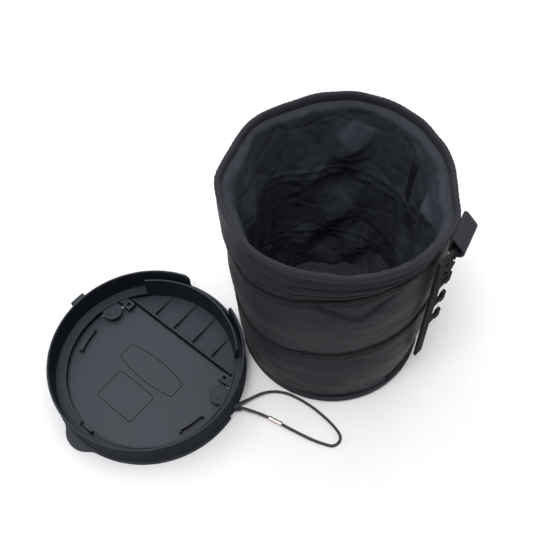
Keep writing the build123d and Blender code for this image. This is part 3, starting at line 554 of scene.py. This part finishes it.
def turn_once(bm, profile, steps):
    """Spins a profile once round the Z axis and closes it."""
    bmesh.ops.spin(bm, geom=profile, cent=(0, 0, 0), axis=(0, 0, 1), angle=2 * pi, steps=steps,
                   use_merge=True)


def turned(profile, steps):
    """A profile of radii and heights, turned once round the Z axis."""
    bm = bmesh.new()
    verts = [bm.verts.new((radius, 0, z)) for radius, z in profile]
    edges = [bm.edges.new(pair) for pair in zip(verts, verts[1:])]
    turn_once(bm, verts + edges, steps)
    return bm


print("piece helpers ready")

# %% [markdown]
# A pressed aluminium crimp closes the loop. It is turned as a profile: the tube's rounded ends and
# the two waists that the pliers left. Spinning that profile once round gives the sleeve, which is
# then laid along the straight run of the elastic.

# %% Crimp on the loop
CRIMP_PROFILE = [    # radius, and place along the tube
    (1.3, -6.5), (1.95, -6.2), (2.1, -5.0), (1.7, -3.0), (1.72, -2.2), (2.1, -0.6),
    (2.1, 0.6), (1.72, 2.2), (1.7, 3.0), (2.1, 5.0), (1.95, 6.2), (1.3, 6.5),
]
CRIMP_RUN = (12, 13)              # points of the elastic's route that it lies between
CRIMP_STEPS = 20

bm = turned(CRIMP_PROFILE, CRIMP_STEPS)
bmesh.ops.remove_doubles(bm, verts=bm.verts, dist=0.001)
run_start, run_end = (Vector(CORD_POINTS[index]) / MM for index in CRIMP_RUN)
lay = (run_end - run_start).to_track_quat("Z", "Y").to_matrix()
bmesh.ops.rotate(bm, cent=(0, 0, 0), matrix=lay, verts=bm.verts)
bmesh.ops.translate(bm, vec=(run_start + run_end) / 2, verts=bm.verts)
bmesh.ops.recalc_face_normals(bm, faces=bm.faces)
crimp = finish_piece(bm, "loop_crimp", crimp_metal, ("cord_ferrule",))
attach(crimp, "base")

# %% [markdown]
# The outer cloth is a tapered tube that a coil of wire holds up. The coil tilts as it climbs, so its
# channel rises from left to right across the front. The soft barrel also leans to its left, and its
# thin hoop is bent, so the mouth is not quite round or level. These functions say how the tube leans
# and where the channel runs.

# %% Lean of the barrel and run of its channel
BARREL_H = 208.0
RIM_R = 80.0
BASE_R = 77.3
WALL_FOOT, WALL_TOP = 1.5, 207.0
COIL_PITCH = 84.0
COIL_Z = 92.0
FRONT, LID_SIDE = -90.0, -164.4   # angles of the barrel's front and of the side beside the lid
MOUTH_LEAN = [       # angle round the mouth, and how far it is pushed out there
    (-180, 6.0), (-150, 4.5), (-120, 2.0), (-90, 0.5), (-60, 0.0), (-28, 0.0), (-8, -4.0), (24, -3.2),
    (55, -0.5), (85, -1.5), (112, -1.5), (136, 1.8), (158, 2.0), (180, 6.0),
]
LEAN_POWER = 0.7                  # how the lean grows with height
RIPPLE = (1.6, 2.4, 5.0)          # size of the mouth's ripples, their pace, and where they start
LIFT_FROM, LIFT_PACE = 0.8, 1.6   # share of the height above which the edge waves, and its pace
LIFT_WAVES = [(2.2, 1.0), (1.3, 2.7)]     # size of each wave, and its pace beside the first
TILT, TILT_FROM = 0.1, 65.0       # rise of the coil's turns for each millimetre above a height
CHANNEL_START, CHANNEL_END = 16.0, 187.0


def wall_radius(z):
    """Plain radius of the tapered wall."""
    return BASE_R + (RIM_R - BASE_R) * z / BARREL_H


def ruffle(angle, z, size, pace, length):
    """Smooth noise round the barrel, of a size, with a pace round it and a length up it."""
    return size * noise.noise(around(angle, pace, z / length))


def sway(angle, z):
    """How far the soft barrel is pushed out of round at a place."""
    share_up = max(z / BARREL_H, 0) ** LEAN_POWER
    size, pace, first = RIPPLE
    ripple = size * noise.noise(around(angle, pace, first))
    for (angle_a, out_a), (angle_b, out_b) in zip(MOUTH_LEAN, MOUTH_LEAN[1:]):
        if angle_a <= angle <= angle_b:
            part = (1 - cos(pi * (angle - angle_a) / (angle_b - angle_a))) / 2
            return share_up * (out_a + (out_b - out_a) * part + ripple)
    return 0.0


def lift(angle, z):
    """Rise of the cloth towards the mouth's wavy edge."""
    spot = around(angle, LIFT_PACE, 0)
    wave = sum(size * noise.noise(spot * pace) for size, pace in LIFT_WAVES)
    return wave * max(z / BARREL_H - LIFT_FROM, 0) / (1 - LIFT_FROM)


def coil_tilt(z, angle):
    """Rise of the coil's turns towards the right, which grows with height."""
    return TILT * max(z - TILT_FROM, 0) * sin(radians(angle - FRONT))


def coil_angle(level):
    """Angle that the climbing coil has turned to at a level, over all its turns."""
    return FRONT + 360 * (level - COIL_Z) / COIL_PITCH


def channel_offset(angle, z):
    """Height above the nearest turn of the spring's channel."""
    level = z
    for _ in range(3):            # the tilt is small, so a few rounds find the level
        level = z - coil_tilt(level, angle)
    turns = (level - COIL_Z) / COIL_PITCH - (angle - FRONT) / 360
    return ((turns + 0.5) % 1 - 0.5) * COIL_PITCH


print("the mouth leans out by", round(sway(LID_SIDE, BARREL_H), 1), "mm beside the lid")

# %% [markdown]
# How far the cloth stands out from that tube is a sum. It swells between the turns of the coil, where
# nothing holds it. Beside the channel it is pinched by the seam and gathered. Under the mouth it has
# sunk into a stack of folds, each with its own line across the cloth.

# %% Swell and folds of the cloth
EDGE_SOFT = 1.0                   # half width of a fold's edge
RIM_FOLDS = [        # lines of (angle, height) points, with the swell and the width of the fold there
    ([(-170, 186), (-135, 190), (-113, 194), (-92, 197), (-66, 198), (-40, 199)], 2.6, 2.6),
    ([(-175, 170), (-127, 180), (-110, 184), (-90, 189), (-70, 192), (-42, 195)], 3.4, 3.2),
    ([(-150, 168), (-120, 175), (-104, 178), (-88, 182), (-70, 186), (-46, 190)], 2.6, 2.8),
    ([(-116, 167), (-104, 163), (-93, 157), (-84, 151), (-78, 159), (-72, 168), (-64, 177)],
     -2.2, 10.0),
    ([(-140, 38), (-120, 44), (-98, 46), (-80, 40)], 1.2, 3.0),
    ([(-75, 118), (-62, 128), (-48, 133), (-36, 130)], 1.6, 3.4),
]
FOLD_ROLL, FOLD_TUCK = 1.6, 0.7   # how far a fold rolls out, and tucks in under its line
TUCK_FADE = 1.5                   # how fast the tuck ends below the line
FOLD_END = 12.0                   # degrees over which a fold fades at either end
SEWN_FOOT, SEWN_TOP = 22.0, 16.0  # how near its sewn foot and mouth the cloth starts to lie flat
BILLOW, SINK = 1.9, 0.4           # swell half way between two turns, and how far all of it sinks
DRAPE = (1.0, 42.0, 24.0)         # height of broad waves, and their size round the barrel and up it
CREASES = (0.35, 15.0, 11.0)      # the same for slanting creases
GATHERS = (0.6, 4.5, 30.0)        # and for gathers beside the channel
CREASE_FROM, CREASE_SLANT = 105.0, 0.2    # where the creases start, and how much they slant
GATHER_REACH = 10.0               # how far from the channel the gathers reach
PINCH, PINCH_OFF, PINCH_W = 0.7, 4.5, 2.0  # depth of the seam's pinch, its place and its width


def fold(height, swell, width):
    """A fold that rolls out above its line and tucks in under it, or a pocket if negative."""
    above = 0.5 + 0.5 * tanh(height / EDGE_SOFT)
    if swell < 0:
        return swell * above * exp(-max(height, 0) / width)
    roll = FOLD_ROLL * swell * (max(height, 0) / width) ** 0.5 * exp(-max(height, 0) / width)
    return roll - FOLD_TUCK * swell * (1 - above) * exp(TUCK_FADE * min(height, 0) / width)


def rim_fold(angle, z):
    """Sum of the folds along the lines under the rim."""
    total = 0.0
    for line, swell, width in RIM_FOLDS:
        for (angle_a, z_a), (angle_b, z_b) in zip(line, line[1:]):
            if angle_a <= angle < angle_b:
                height = z - z_a - (z_b - z_a) * (angle - angle_a) / (angle_b - angle_a)
                ends = min(angle - line[0][0], line[-1][0] - angle, FOLD_END) / FOLD_END
                total += ends * fold(height, swell, width)
    return total


def waves(pattern, x, y, z):
    """Smooth noise of a height, with a size round the barrel and one up it."""
    height, size, rise = pattern
    return height * noise.noise(Vector((x / size, y / size, z / rise)))


def cloth_swell(angle, z):
    """How far the cloth stands out from the plain wall."""
    above = channel_offset(angle, z)
    sewn = min(max((z - WALL_FOOT) / SEWN_FOOT, 0), max((WALL_TOP - z) / SEWN_TOP, 0), 1)
    billow = BILLOW * sin(pi * above / COIL_PITCH) ** 2
    place = around(angle, RIM_R, z)
    drape = waves(DRAPE, place.x, place.y, z)
    creases = waves(CREASES, place.x + CREASE_FROM, place.y, z + CREASE_SLANT * place.x)
    gathers = waves(GATHERS, place.x, place.y, z) * exp(-abs(above) / GATHER_REACH)
    pinch = PINCH * exp(-((abs(above) - PINCH_OFF) / PINCH_W) ** 2)
    return sewn * (billow - SINK + drape + creases + gathers - pinch) + rim_fold(angle, z)


def on_cloth(angle, z, out=0.0):
    """Point on the barrel's cloth, or out from it."""
    radius = wall_radius(z) + cloth_swell(angle, z) + sway(angle, z) + out
    return around(angle, radius, z + lift(angle, z))


def lean_with_barrel(bm):
    """Moves what is inside the cloth as the cloth leans, and in where the cloth is tucked in."""
    for vert in bm.verts:
        angle, z = degrees(atan2(vert.co.y, vert.co.x)), vert.co.z
        shift = sway(angle, z) + min(cloth_swell(angle, z), 0)
        vert.co = around(angle, vert.co.xy.length + shift, z + lift(angle, z))


print("cloth at the front, half way up, stands out", round(cloth_swell(FRONT, 130), 2), "mm")

# %% [markdown]
# The cloth itself is a flat grid rolled into a tube, as a sewer would cut and close it. Rolling a
# grid keeps a clean UV map for the weave. Each point is moved out by the swell above, and Solidify
# gives the cloth its thickness.

# %% Outer cloth
CLOTH = 0.8
CLOTH_COLUMNS, CLOTH_ROWS = 220, 200


def on_wall(share_round, share_up):
    """Point of the outer cloth."""
    return on_cloth(360 * share_round - 180, WALL_FOOT + (WALL_TOP - WALL_FOOT) * share_up)


girth = 2 * pi * (RIM_R + BASE_R) / 2
bm = cloth_grid(CLOTH_COLUMNS, CLOTH_ROWS, girth, WALL_TOP - WALL_FOOT, on_wall)
barrel_cloth = finish_piece(bm, "barrel_cloth", woven_nylon, ("outer_wall",))
thicken(barrel_cloth, CLOTH)
fold_with_barrel(barrel_cloth)

# %% [markdown]
# The channel is a strip of tape sewn over the wire. It follows the coil up the wall, so its grid is
# laid along that path, domed a little over the wire and puckered at its edges.

# %% Spring channel
CHANNEL_W = 5.0
CHANNEL_T = 0.5
CHANNEL_DOME = 0.7                # rise of the tape's middle over the wire
PUCKER_H, PUCKER_STEP = 0.25, 3.0  # height of the puckers along the tape, and their size
CHANNEL_COLUMNS, CHANNEL_ROWS = 420, 6
channel_turns = (CHANNEL_END - CHANNEL_START) / COIL_PITCH
channel_length = channel_turns * girth


def channel_place(share_along, share_across):
    """Point on the channel, along the coil and across the tape."""
    level = CHANNEL_START + (CHANNEL_END - CHANNEL_START) * share_along
    angle = (coil_angle(level) + 180) % 360 - 180
    z = level + coil_tilt(level, angle) + CHANNEL_W * (share_across - 0.5)
    dome = CHANNEL_DOME * (1 - (2 * share_across - 1) ** 2)
    along = share_along * channel_length / PUCKER_STEP
    pucker = PUCKER_H * noise.noise(Vector((along, share_across * 2, 0)))
    return on_cloth(angle, z, CHANNEL_T + dome + pucker)


bm = cloth_grid(CHANNEL_COLUMNS, CHANNEL_ROWS, channel_length, CHANNEL_W, channel_place)
spring_channel = finish_piece(bm, "spring_channel", channel_tape, ("spring_sleeve",))
thicken(spring_channel, CHANNEL_T)
fold_with_barrel(spring_channel)

# %% [markdown]
# Inside the channel runs the spring wire, and a hoop of the same wire sits in the mouth's hem. Both
# are hidden, but they are there: a small circle spun round the axis, for the coil while it climbs.
# Each then leans with the cloth, so that no wire comes through it.

# %% Coil spring and mouth hoop
WIRE_R = 1.0
WIRE_IN, HOOP_IN = 2.1, 1.5       # wall's outside to the middle of the coil's and the hoop's wire
COIL_START, COIL_END = 5.1, 203.4
HOOP_Z = 205.7
WIRE_STEPS = 170
HOOP_STEPS = 90


def wire_end(radius, z):
    """Round end of a wire, ready to be spun round the barrel's axis."""
    bm = bmesh.new()
    bmesh.ops.create_circle(bm, cap_ends=True, segments=8, radius=WIRE_R)
    bmesh.ops.rotate(bm, cent=(0, 0, 0), matrix=Matrix.Rotation(pi / 2, 3, "X"), verts=bm.verts)
    bmesh.ops.translate(bm, vec=(radius, 0, z), verts=bm.verts)
    return bm


bm = wire_end(BASE_R - WIRE_IN, COIL_START)
coil_turns = (COIL_END - COIL_START) / COIL_PITCH
bmesh.ops.spin(bm, geom=bm.faces[:], cent=(0, 0, 0), axis=(0, 0, 1), angle=2 * pi * coil_turns,
               steps=WIRE_STEPS, dvec=(0, 0, (COIL_END - COIL_START) / WIRE_STEPS))
turn_to_start = Matrix.Rotation(radians(coil_angle(COIL_START)), 3, "Z")
bmesh.ops.rotate(bm, cent=(0, 0, 0), matrix=turn_to_start, verts=bm.verts)
for vert in bm.verts:
    vert.co.xy *= (wall_radius(vert.co.z) - WIRE_IN) / (BASE_R - WIRE_IN)
lean_with_barrel(bm)
bmesh.ops.recalc_face_normals(bm, faces=bm.faces)
coil = finish_piece(bm, "coil_wire", spring_steel, ("coil_spring",))
fold_with_barrel(coil)

bm = wire_end(wall_radius(HOOP_Z) - HOOP_IN, HOOP_Z)
bmesh.ops.delete(bm, geom=bm.faces[:], context="FACES_ONLY")
turn_once(bm, bm.verts[:] + bm.edges[:], HOOP_STEPS)
lean_with_barrel(bm)
bmesh.ops.recalc_face_normals(bm, faces=bm.faces)
mouth_wire = finish_piece(bm, "mouth_wire", spring_steel, ("top_hoop",))
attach(mouth_wire, "rim")

# %% [markdown]
# Tape is rolled over the mouth's upper edges and folded under the foot. Each hem is a strip whose
# cross-section is a short line of points. The strip runs once round, and it waves a little, as a
# soft edge on a thin hoop does.

# %% Hems of mouth and foot
HEM_COLUMNS, HEM_ROWS = 320, 27
TAPE, FOOT_TAPE = 0.7, 0.42       # thickness of the tape at the mouth and at the foot
MOUTH_TAPE_W, FOOT_TAPE_W = 19.0, 21.0
MOUTH_PROFILE = [(80.7, 201.8), (81.1, 202.6), (81.25, 204.4), (80.9, 206.6), (80.0, 207.8),
                 (78.8, 208.1), (77.6, 207.5), (76.9, 205.9), (76.7, 204.4), (76.6, 203.0),
                 (76.6, 201.6)]
MOUTH_TOP, MOUTH_LOW = 208.1, 201.6       # heights of the profile's highest and lowest points
LID_SPREAD = 30.0                 # degrees round the lid's side over which the hem is narrower
HEM_TRIM = 2.4                    # how much narrower
HEM_GATHER, HEM_GATHERS = 0.15, 118       # depth and number of the mouth hem's gathers
MOUTH_RUFFLE = (0.4, 5, 12)       # size of its soft waves, their pace and their length
FOOT_RUFFLE = (0.2, 9, 8)         # the same for the foot's hem
FOOT_FLAT = 4                     # below this height the foot's waves fade out
FOOT_PROFILE = [(68.4, 0.5), (72.0, 0.45), (75.5, 0.45), (77.4, 0.8), (78.3, 2.2), (78.55, 4.2),
                (78.35, 5.4), (78.6, 6.8), (78.5, 9.0), (78.15, 11.0)]


def along_profile(profile, share):
    """Radius and height at a share of a profile's points."""
    step = share * (len(profile) - 1)
    first = min(int(step), len(profile) - 2)
    (radius_a, z_a), (radius_b, z_b) = profile[first], profile[first + 1]
    part = step - first
    return radius_a + (radius_b - radius_a) * part, z_a + (z_b - z_a) * part


def beside_lid(angle):
    """How squarely a place of the mouth faces the lid, from 0 to 1."""
    return exp(-(((angle - LID_SIDE + 180) % 360 - 180) / LID_SPREAD) ** 2)


def on_mouth(share_round, share_across):
    """Point of the mouth's hem, which is turned narrower where it comes down beside the lid."""
    angle = 360 * share_round - 180
    radius, z = along_profile(MOUTH_PROFILE, 1 - share_across)
    z += HEM_TRIM * beside_lid(angle) * (MOUTH_TOP - z) / (MOUTH_TOP - MOUTH_LOW)
    pucker = HEM_GATHER * sin(radians(angle) * HEM_GATHERS) + ruffle(angle, z, *MOUTH_RUFFLE)
    return around(angle, radius + pucker + sway(angle, z), z + lift(angle, z))


def on_foot(share_round, share_across):
    """Point of the foot's hem."""
    angle = 360 * share_round - 180
    radius, z = along_profile(FOOT_PROFILE, share_across)
    pucker = ruffle(angle, z, *FOOT_RUFFLE) * min(z / FOOT_FLAT, 1)
    return around(angle, radius + pucker, z)


def hem(name, place, width, thickness, replaced):
    """A strip of hem tape that runs once round the barrel."""
    bm = cloth_grid(HEM_COLUMNS, HEM_ROWS, girth, width, place)
    bmesh.ops.recalc_face_normals(bm, faces=bm.faces)
    piece = finish_piece(bm, name, hem_tape, (replaced,))
    thicken(piece, thickness)
    return piece


mouth_hem = hem("mouth_hem", on_mouth, MOUTH_TAPE_W, TAPE, "rim_binding")
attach(mouth_hem, "rim")
foot_hem = hem("foot_hem", on_foot, FOOT_TAPE_W, FOOT_TAPE, "base_binding")
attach(foot_hem, "base")

# %% [markdown]
# The lining is a loose bag, cut larger than the barrel, so it hangs in it in soft folds. It starts as
# a grid again: its lowest rows close into a round floor, and the others go up the wall. Here it only
# has the plain slanting folds that its solid has too, and a little unevenness.

# %% Lining bag before it crumples
LINING = 0.4
LINING_IN = 3.8                   # wall's outside to the lining's outside
LINING_FLOOR = 2.4
LINING_TOP = 204.5
HEM_LOW = 202.0                   # the mouth's hem holds the lining above this
TUCK_FROM, HEM_TUCK = 193.0, 1.6  # where the lining starts to spread into the hem, and how far
FOLD_DEPTH, FOLD_FADE, FOLD_TOP = 12.0, 24.0, 199.0
FOLDS_ROUND, FOLD_RISE = 5, 75.0  # folds round the bag, and from one to the next up it
CROSS_FOLDS, CROSS_RISE, CROSS_SHARE = 8, 107.0, 0.35     # folds that cross them, and their share
BAG_RUFFLES = [(1.2, 9, 8), (4, 2.2, 40)]  # size of each unevenness, its pace and its length
BAG_IN = 3.5                      # how much smaller the bag starts, so that none of it meets the drum
BAG_COLUMNS, BAG_ROWS = 200, 150
bag_wall = LINING_TOP - LINING_FLOOR
bag_floor_r = wall_radius(0) - LINING_IN
bag_length = bag_wall + bag_floor_r


def lining_dent(angle, z):
    """How far the slack lining hangs in, in the slanting folds that the solid has too."""
    slant = sin(radians(FOLDS_ROUND * angle + 360 * z / FOLD_RISE))
    cross = sin(radians(CROSS_FOLDS * angle - 360 * z / CROSS_RISE))
    fade = max(0, min(1, (z - LINING_FLOOR) / FOLD_FADE, (FOLD_TOP - z) / FOLD_FADE))
    corners_free = 1 - abs(sin(radians(2 * angle))) ** 3
    folds = (1 + (1 - CROSS_SHARE) * slant + CROSS_SHARE * cross) / 2
    return FOLD_DEPTH * fade * corners_free * folds


def on_bag(share_round, share_up):
    """Point of the bag before it crumples: out from the middle of its floor, then up its wall."""
    angle = 360 * share_round - 180
    along = share_up * bag_length
    if along <= bag_floor_r:
        return around(angle, along, LINING_FLOOR)
    z = LINING_FLOOR + along - bag_floor_r
    uneven = sum(ruffle(angle, z, *kind) for kind in BAG_RUFFLES) - BAG_IN
    return around(angle, wall_radius(z) - LINING_IN - lining_dent(angle, z) + uneven, z)


bag = cloth_grid(BAG_COLUMNS, BAG_ROWS, girth, bag_length, on_bag)
print("bag of", len(bag.verts), "points, deepest fold", FOLD_DEPTH, "mm")

# %% [markdown]
# Cloth simulation makes soft folds better than any formula. The bag stands in a drum, is held at the
# mouth and on its floor, told that it was cut a fifth too tall, and left to buckle inwards and sag.
# It runs ten times larger than life, because the solver suits metre-sized cloth.

# %% Cloth solver
SIM_SCALE = 10 * MM
SIM_FRAMES = 32
SLACK_ROUND, SLACK_UP = 0.09, 0.2  # how much larger than the barrel the bag was cut
SLACK_UNEVEN = 0.6                # how unevenly, in so many waves round the bag and up it
UNEVEN_ROUND, UNEVEN_UP = 3, 8
HELD_TOP = 8.0                    # height of the band that is held at the mouth
HELD_FLOOR = 0.2                  # share of its floor that lies still
DRUM_HEIGHTS, DRUM_STEPS = range(-5, 220, 15), 64
DRUM_GAP = 0.6
CLOTH_GAP = 1.2


def in_solver(bm, name):
    """Object of a bmesh at the solver's scale."""
    mesh = bpy.data.meshes.new(name)
    bm.to_mesh(mesh)
    mesh.transform(Matrix.Scale(SIM_SCALE, 4))
    scaled = bpy.data.objects.new(name, mesh)
    bpy.context.collection.objects.link(scaled)
    return scaled


def drum_in_solver():
    """The stiff barrel that the bag stands in, as an obstacle for the solver."""
    bm = turned([(wall_radius(z) - LINING_IN + DRUM_GAP, z) for z in DRUM_HEIGHTS], DRUM_STEPS)
    drum = in_solver(bm, "drum in the solver")
    bm.free()
    drum.modifiers.new("collision", "COLLISION")
    drum.collision.thickness_outer = SIM_SCALE
    drum.collision.cloth_friction = 2.0
    return drum


def crumple(bm):
    """Runs the cloth solver on a ten times larger copy of the bag and takes over its shape."""
    copy = in_solver(bm, "bag in the solver")
    copy.shape_key_add(name="as it stands")
    cut = copy.shape_key_add(name="as it was cut")
    for point in cut.data:
        turn = UNEVEN_ROUND * atan2(point.co.y, point.co.x) + UNEVEN_UP * point.co.z
        uneven = 1 + SLACK_UNEVEN * sin(turn)
        point.co.xy *= 1 + SLACK_ROUND
        point.co.z *= 1 + SLACK_UP * uneven
    held = copy.vertex_groups.new(name="held")
    for index, vert in enumerate(bm.verts):
        at_mouth = vert.co.z > LINING_TOP - HELD_TOP
        on_floor = vert.co.z < LINING_FLOOR + 1 and vert.co.xy.length < HELD_FLOOR * bag_floor_r
        held.add([index], float(at_mouth or on_floor), "REPLACE")
    cloth = copy.modifiers.new("cloth", "CLOTH")
    cloth.settings.quality = 6
    cloth.settings.mass = 0.25
    cloth.settings.tension_stiffness = 12
    cloth.settings.compression_stiffness = 12
    cloth.settings.shear_stiffness = 5
    cloth.settings.bending_stiffness = 0.7
    cloth.settings.rest_shape_key = cut
    cloth.settings.vertex_group_mass = "held"
    cloth.settings.effector_weights.gravity = 0.08
    cloth.collision_settings.distance_min = CLOTH_GAP * SIM_SCALE
    cloth.point_cache.frame_end = SIM_FRAMES
    drum = drum_in_solver()
    for step in range(1, SIM_FRAMES + 1):
        bpy.context.scene.frame_set(step)
    solved = copy.evaluated_get(bpy.context.evaluated_depsgraph_get()).to_mesh()
    for vert, moved in zip(bm.verts, solved.vertices):
        vert.co = moved.co / SIM_SCALE
    bpy.data.objects.remove(copy)
    bpy.data.objects.remove(drum)
    bpy.context.scene.frame_set(1)


print("cloth solver ready, for", SIM_FRAMES, "frames")

# %% [markdown]
# It is then trimmed to its place: none of it goes past the drum, and its upper edge spreads into
# the mouth's hem. Last it leans with the barrel.

# %% Let the bag buckle and sag
crumple(bag)
for vert in bag.verts:
    vert.co.z = min(max(vert.co.z, LINING_FLOOR), LINING_TOP)
    tuck = HEM_TUCK * min(max((vert.co.z - TUCK_FROM) / (HEM_LOW - TUCK_FROM), 0), 1)
    most = wall_radius(vert.co.z) - LINING_IN + tuck
    least = most - max(HEM_LOW - vert.co.z, 0) if vert.co.z > HEM_LOW - FOLD_FADE else 0
    length = max(vert.co.xy.length, 0.001)
    vert.co.xy *= min(max(length, least), most) / length
lean_with_barrel(bag)
inside = BVHTree.FromBMesh(bag)
lining_bag = finish_piece(bag, "lining_bag", coated_lining, ("inner_lining", "lining_base"))
thicken(lining_bag, LINING, offset=0)
fold_with_barrel(lining_bag)

# %% [markdown]
# A short dark tape is sewn over the lining's side seam, a little below the mouth. It lies on the
# crumpled lining, so each of its points is found by a ray that leaves the barrel's axis and stops
# at the lining.

# %% Seam tape inside
SEAM_AZ = 32.0
SEAM_W, SEAM_LOW, SEAM_HIGH = 9.0, 138.0, 178.0
SEAM_OFF = 0.5                    # tape's face to the lining
SEAM_COLUMNS, SEAM_ROWS = 6, 28


def at_lining(angle, z, off=0.0):
    """Point where a ray from the barrel's axis meets the lining, or a little inside it."""
    outward = around(angle, 1, 0)
    reach = inside.ray_cast(Vector((0, 0, z)), outward)[3]
    return outward * (reach - off) + Vector((0, 0, z))


def on_lining(share_across, share_up):
    """Point of the seam tape, just inside the lining."""
    z = SEAM_LOW + (SEAM_HIGH - SEAM_LOW) * share_up
    return at_lining(SEAM_AZ + degrees(SEAM_W / RIM_R) * (share_across - 0.5), z, SEAM_OFF)


bm = cloth_grid(SEAM_COLUMNS, SEAM_ROWS, SEAM_W, SEAM_HIGH - SEAM_LOW, on_lining)
seam_tape = finish_piece(bm, "seam_tape", channel_tape)
thicken(seam_tape, SEAM_OFF, offset=0)
fold_with_barrel(seam_tape)

# %% [markdown]
# Thread shows along every sewn edge. Each stitch is a coarse little ball, drawn out to a grain along
# its seam and half sunk in the tape. Rows of them run along the two hems, round the lining where its
# facing begins, and along both edges of the spring's channel.

# %% Stitches
STITCH_MM = 3.6
STITCH = (1.1, 0.22, 0.22)        # half its length, width and depth
STITCH_FROM, STITCH_TO = 0.2, 0.8  # part of each step that the stitch lies in
HEM_SEAM = 0.9                    # share across a hem at which its seam runs
CHANNEL_SEAMS = {"channel_stitches_low": 0.1, "channel_stitches_high": 0.9}
FACING_Z = 199.0


def sew(bm, start, end):
    """Adds one stitch between two points of a seam."""
    lay = (end - start).to_track_quat("X", "Z").to_matrix().to_4x4()
    shape = Matrix.Translation((start + end) / 2) @ lay @ Matrix.Diagonal((*STITCH, 1))
    bmesh.ops.create_icosphere(bm, subdivisions=1, radius=1, matrix=shape)


def sew_row(seam, length_mm):
    """A row of stitches along a seam, which gives a point at each share of its length."""
    bm = bmesh.new()
    count = int(length_mm / STITCH_MM)
    for place in range(count):
        sew(bm, seam((place + STITCH_FROM) / count), seam((place + STITCH_TO) / count))
    return bm


for name, seam, body in (("mouth_stitches", lambda share: on_mouth(share, HEM_SEAM), "rim"),
                         ("foot_stitches", lambda share: on_foot(share, HEM_SEAM), "base")):
    row = finish_piece(sew_row(seam, girth), name, hem_thread)
    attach(row, body)


def facing_seam(share):
    """Point on the seam where the lining meets its facing, just under the mouth."""
    return at_lining(360 * share - 180, FACING_Z)


row = finish_piece(sew_row(facing_seam, girth), "facing_stitches", hem_thread)
fold_with_barrel(row)
for name, edge in CHANNEL_SEAMS.items():
    bm = sew_row(lambda share: channel_place(share, edge), channel_length)
    row = finish_piece(bm, name, hem_thread)
    fold_with_barrel(row)

# %% [markdown]
# The flap's inside shows the outlines of two mould inserts: thin lines where the steel blocks met.
# Each is an outline face, inset by the line's width. The inner face is deleted and the border that
# is left is raised by a hair. Its near-black colour is painted shade, the dark of a fine groove.

# %% Mould lines on the flap
LID_MIDDLE = Vector((-158.8, -44.4, 0))
LID_TURN = radians(-40.0)
FLAP_TOP = 2.2
LINE_W, LINE_H = 0.5, 0.1
INSERTS = [          # outline's middle, its half sides, bulge of its long sides, and its corners
    (1.2, -1.2, 31.2, 7.6, 3.8, 1.6),
    (0.5, -32.5, 20.5, 15.0, 0.0, 3.5),
]
SIDE_STEPS = 12


def on_flap(along, across, z):
    """Place on the lid, along its hinge line and across it."""
    return LID_MIDDLE + Matrix.Rotation(LID_TURN, 3, "Z") @ Vector((along, across, z))


def insert_outline(bm, along, across, half_along, half_across, bulge, corner):
    """Outline of a mould insert: an oblong whose long sides may bulge, with rounded corners."""
    verts = []
    for side in (1, -1):
        for step in range(SIDE_STEPS + 1):
            share = side * (1 - 2 * step / SIDE_STEPS)
            reach = side * (half_across + bulge * (1 - share**2))
            verts.append(bm.verts.new(on_flap(along + share * half_along, across + reach, FLAP_TOP)))
    bm.faces.new(verts)
    ends = [verts[0], verts[SIDE_STEPS], verts[SIDE_STEPS + 1], verts[-1]]
    bmesh.ops.bevel(bm, geom=ends, offset=corner, segments=4, profile=0.5, affect="VERTICES",
                    material=-1)


bm = bmesh.new()
for insert in INSERTS:
    insert_outline(bm, *insert)
lines = bmesh.ops.inset_region(bm, faces=bm.faces[:], thickness=LINE_W, use_boundary=True,
                               use_even_offset=True)["faces"]
bmesh.ops.delete(bm, geom=[face for face in bm.faces if face not in lines], context="FACES_ONLY")
raised = bmesh.ops.extrude_face_region(bm, geom=bm.faces[:])["geom"]
raised_verts = [item for item in raised if isinstance(item, bmesh.types.BMVert)]
bmesh.ops.translate(bm, vec=(0, 0, LINE_H), verts=raised_verts)
bmesh.ops.recalc_face_normals(bm, faces=bm.faces)
mould_lines = finish_piece(bm, "mould_lines", shade_black_plastic)
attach(mould_lines, "flap")

# %% [markdown]
# No light shows between the flap's rear edge and the panel. A thin lip of the panel fills that gap,
# as far as the flap's swing leaves room. It is near black, which is painted shade. It is one long
# box, a fifth of a millimetre thin, with its edges bevelled.

# %% Lip under the flap's rear edge
LIP_FROM, LIP_TO = 37.72, 38.6    # across the hinge line, from the lid's middle
LIP_HALF, LIP_T = 59.0, 0.2

bm = bmesh.new()
bmesh.ops.create_cube(bm, size=1)
for vert in bm.verts:
    across = LIP_FROM if vert.co.y < 0 else LIP_TO
    vert.co = on_flap(2 * LIP_HALF * vert.co.x, across, LIP_T * (vert.co.z + 0.5))
bmesh.ops.bevel(bm, geom=bm.edges[:], offset=LIP_T / 4, segments=2, profile=0.5, affect="EDGES",
                material=-1)
gap_shade_lip = finish_piece(bm, "gap_shade_lip", shade_black_plastic)
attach(gap_shade_lip, "base")

# %% [markdown]
# The hard parts keep their CAD shapes. Each one only takes its finish, in its own material slot.

# %% Finishes of the CAD parts
CAD_FINISHES = {
    "lid_ring": collar_plastic,
    "lid_flap": flap_plastic,
    "hook_strip": strip_plastic,
    "webbing_loop": webbing,
    "hinge_pins": pin_steel,
    "base_hoop": spring_steel,
    "outer_base": canvas,
}
for name, finish in CAD_FINISHES.items():
    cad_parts[name].material_slots[0].material = finish
print("finished", len(CAD_FINISHES), "CAD parts")

# %% [markdown]
# Last, the view layer is brought up to date.

# %% Update the view layer
bpy.context.view_layer.update()
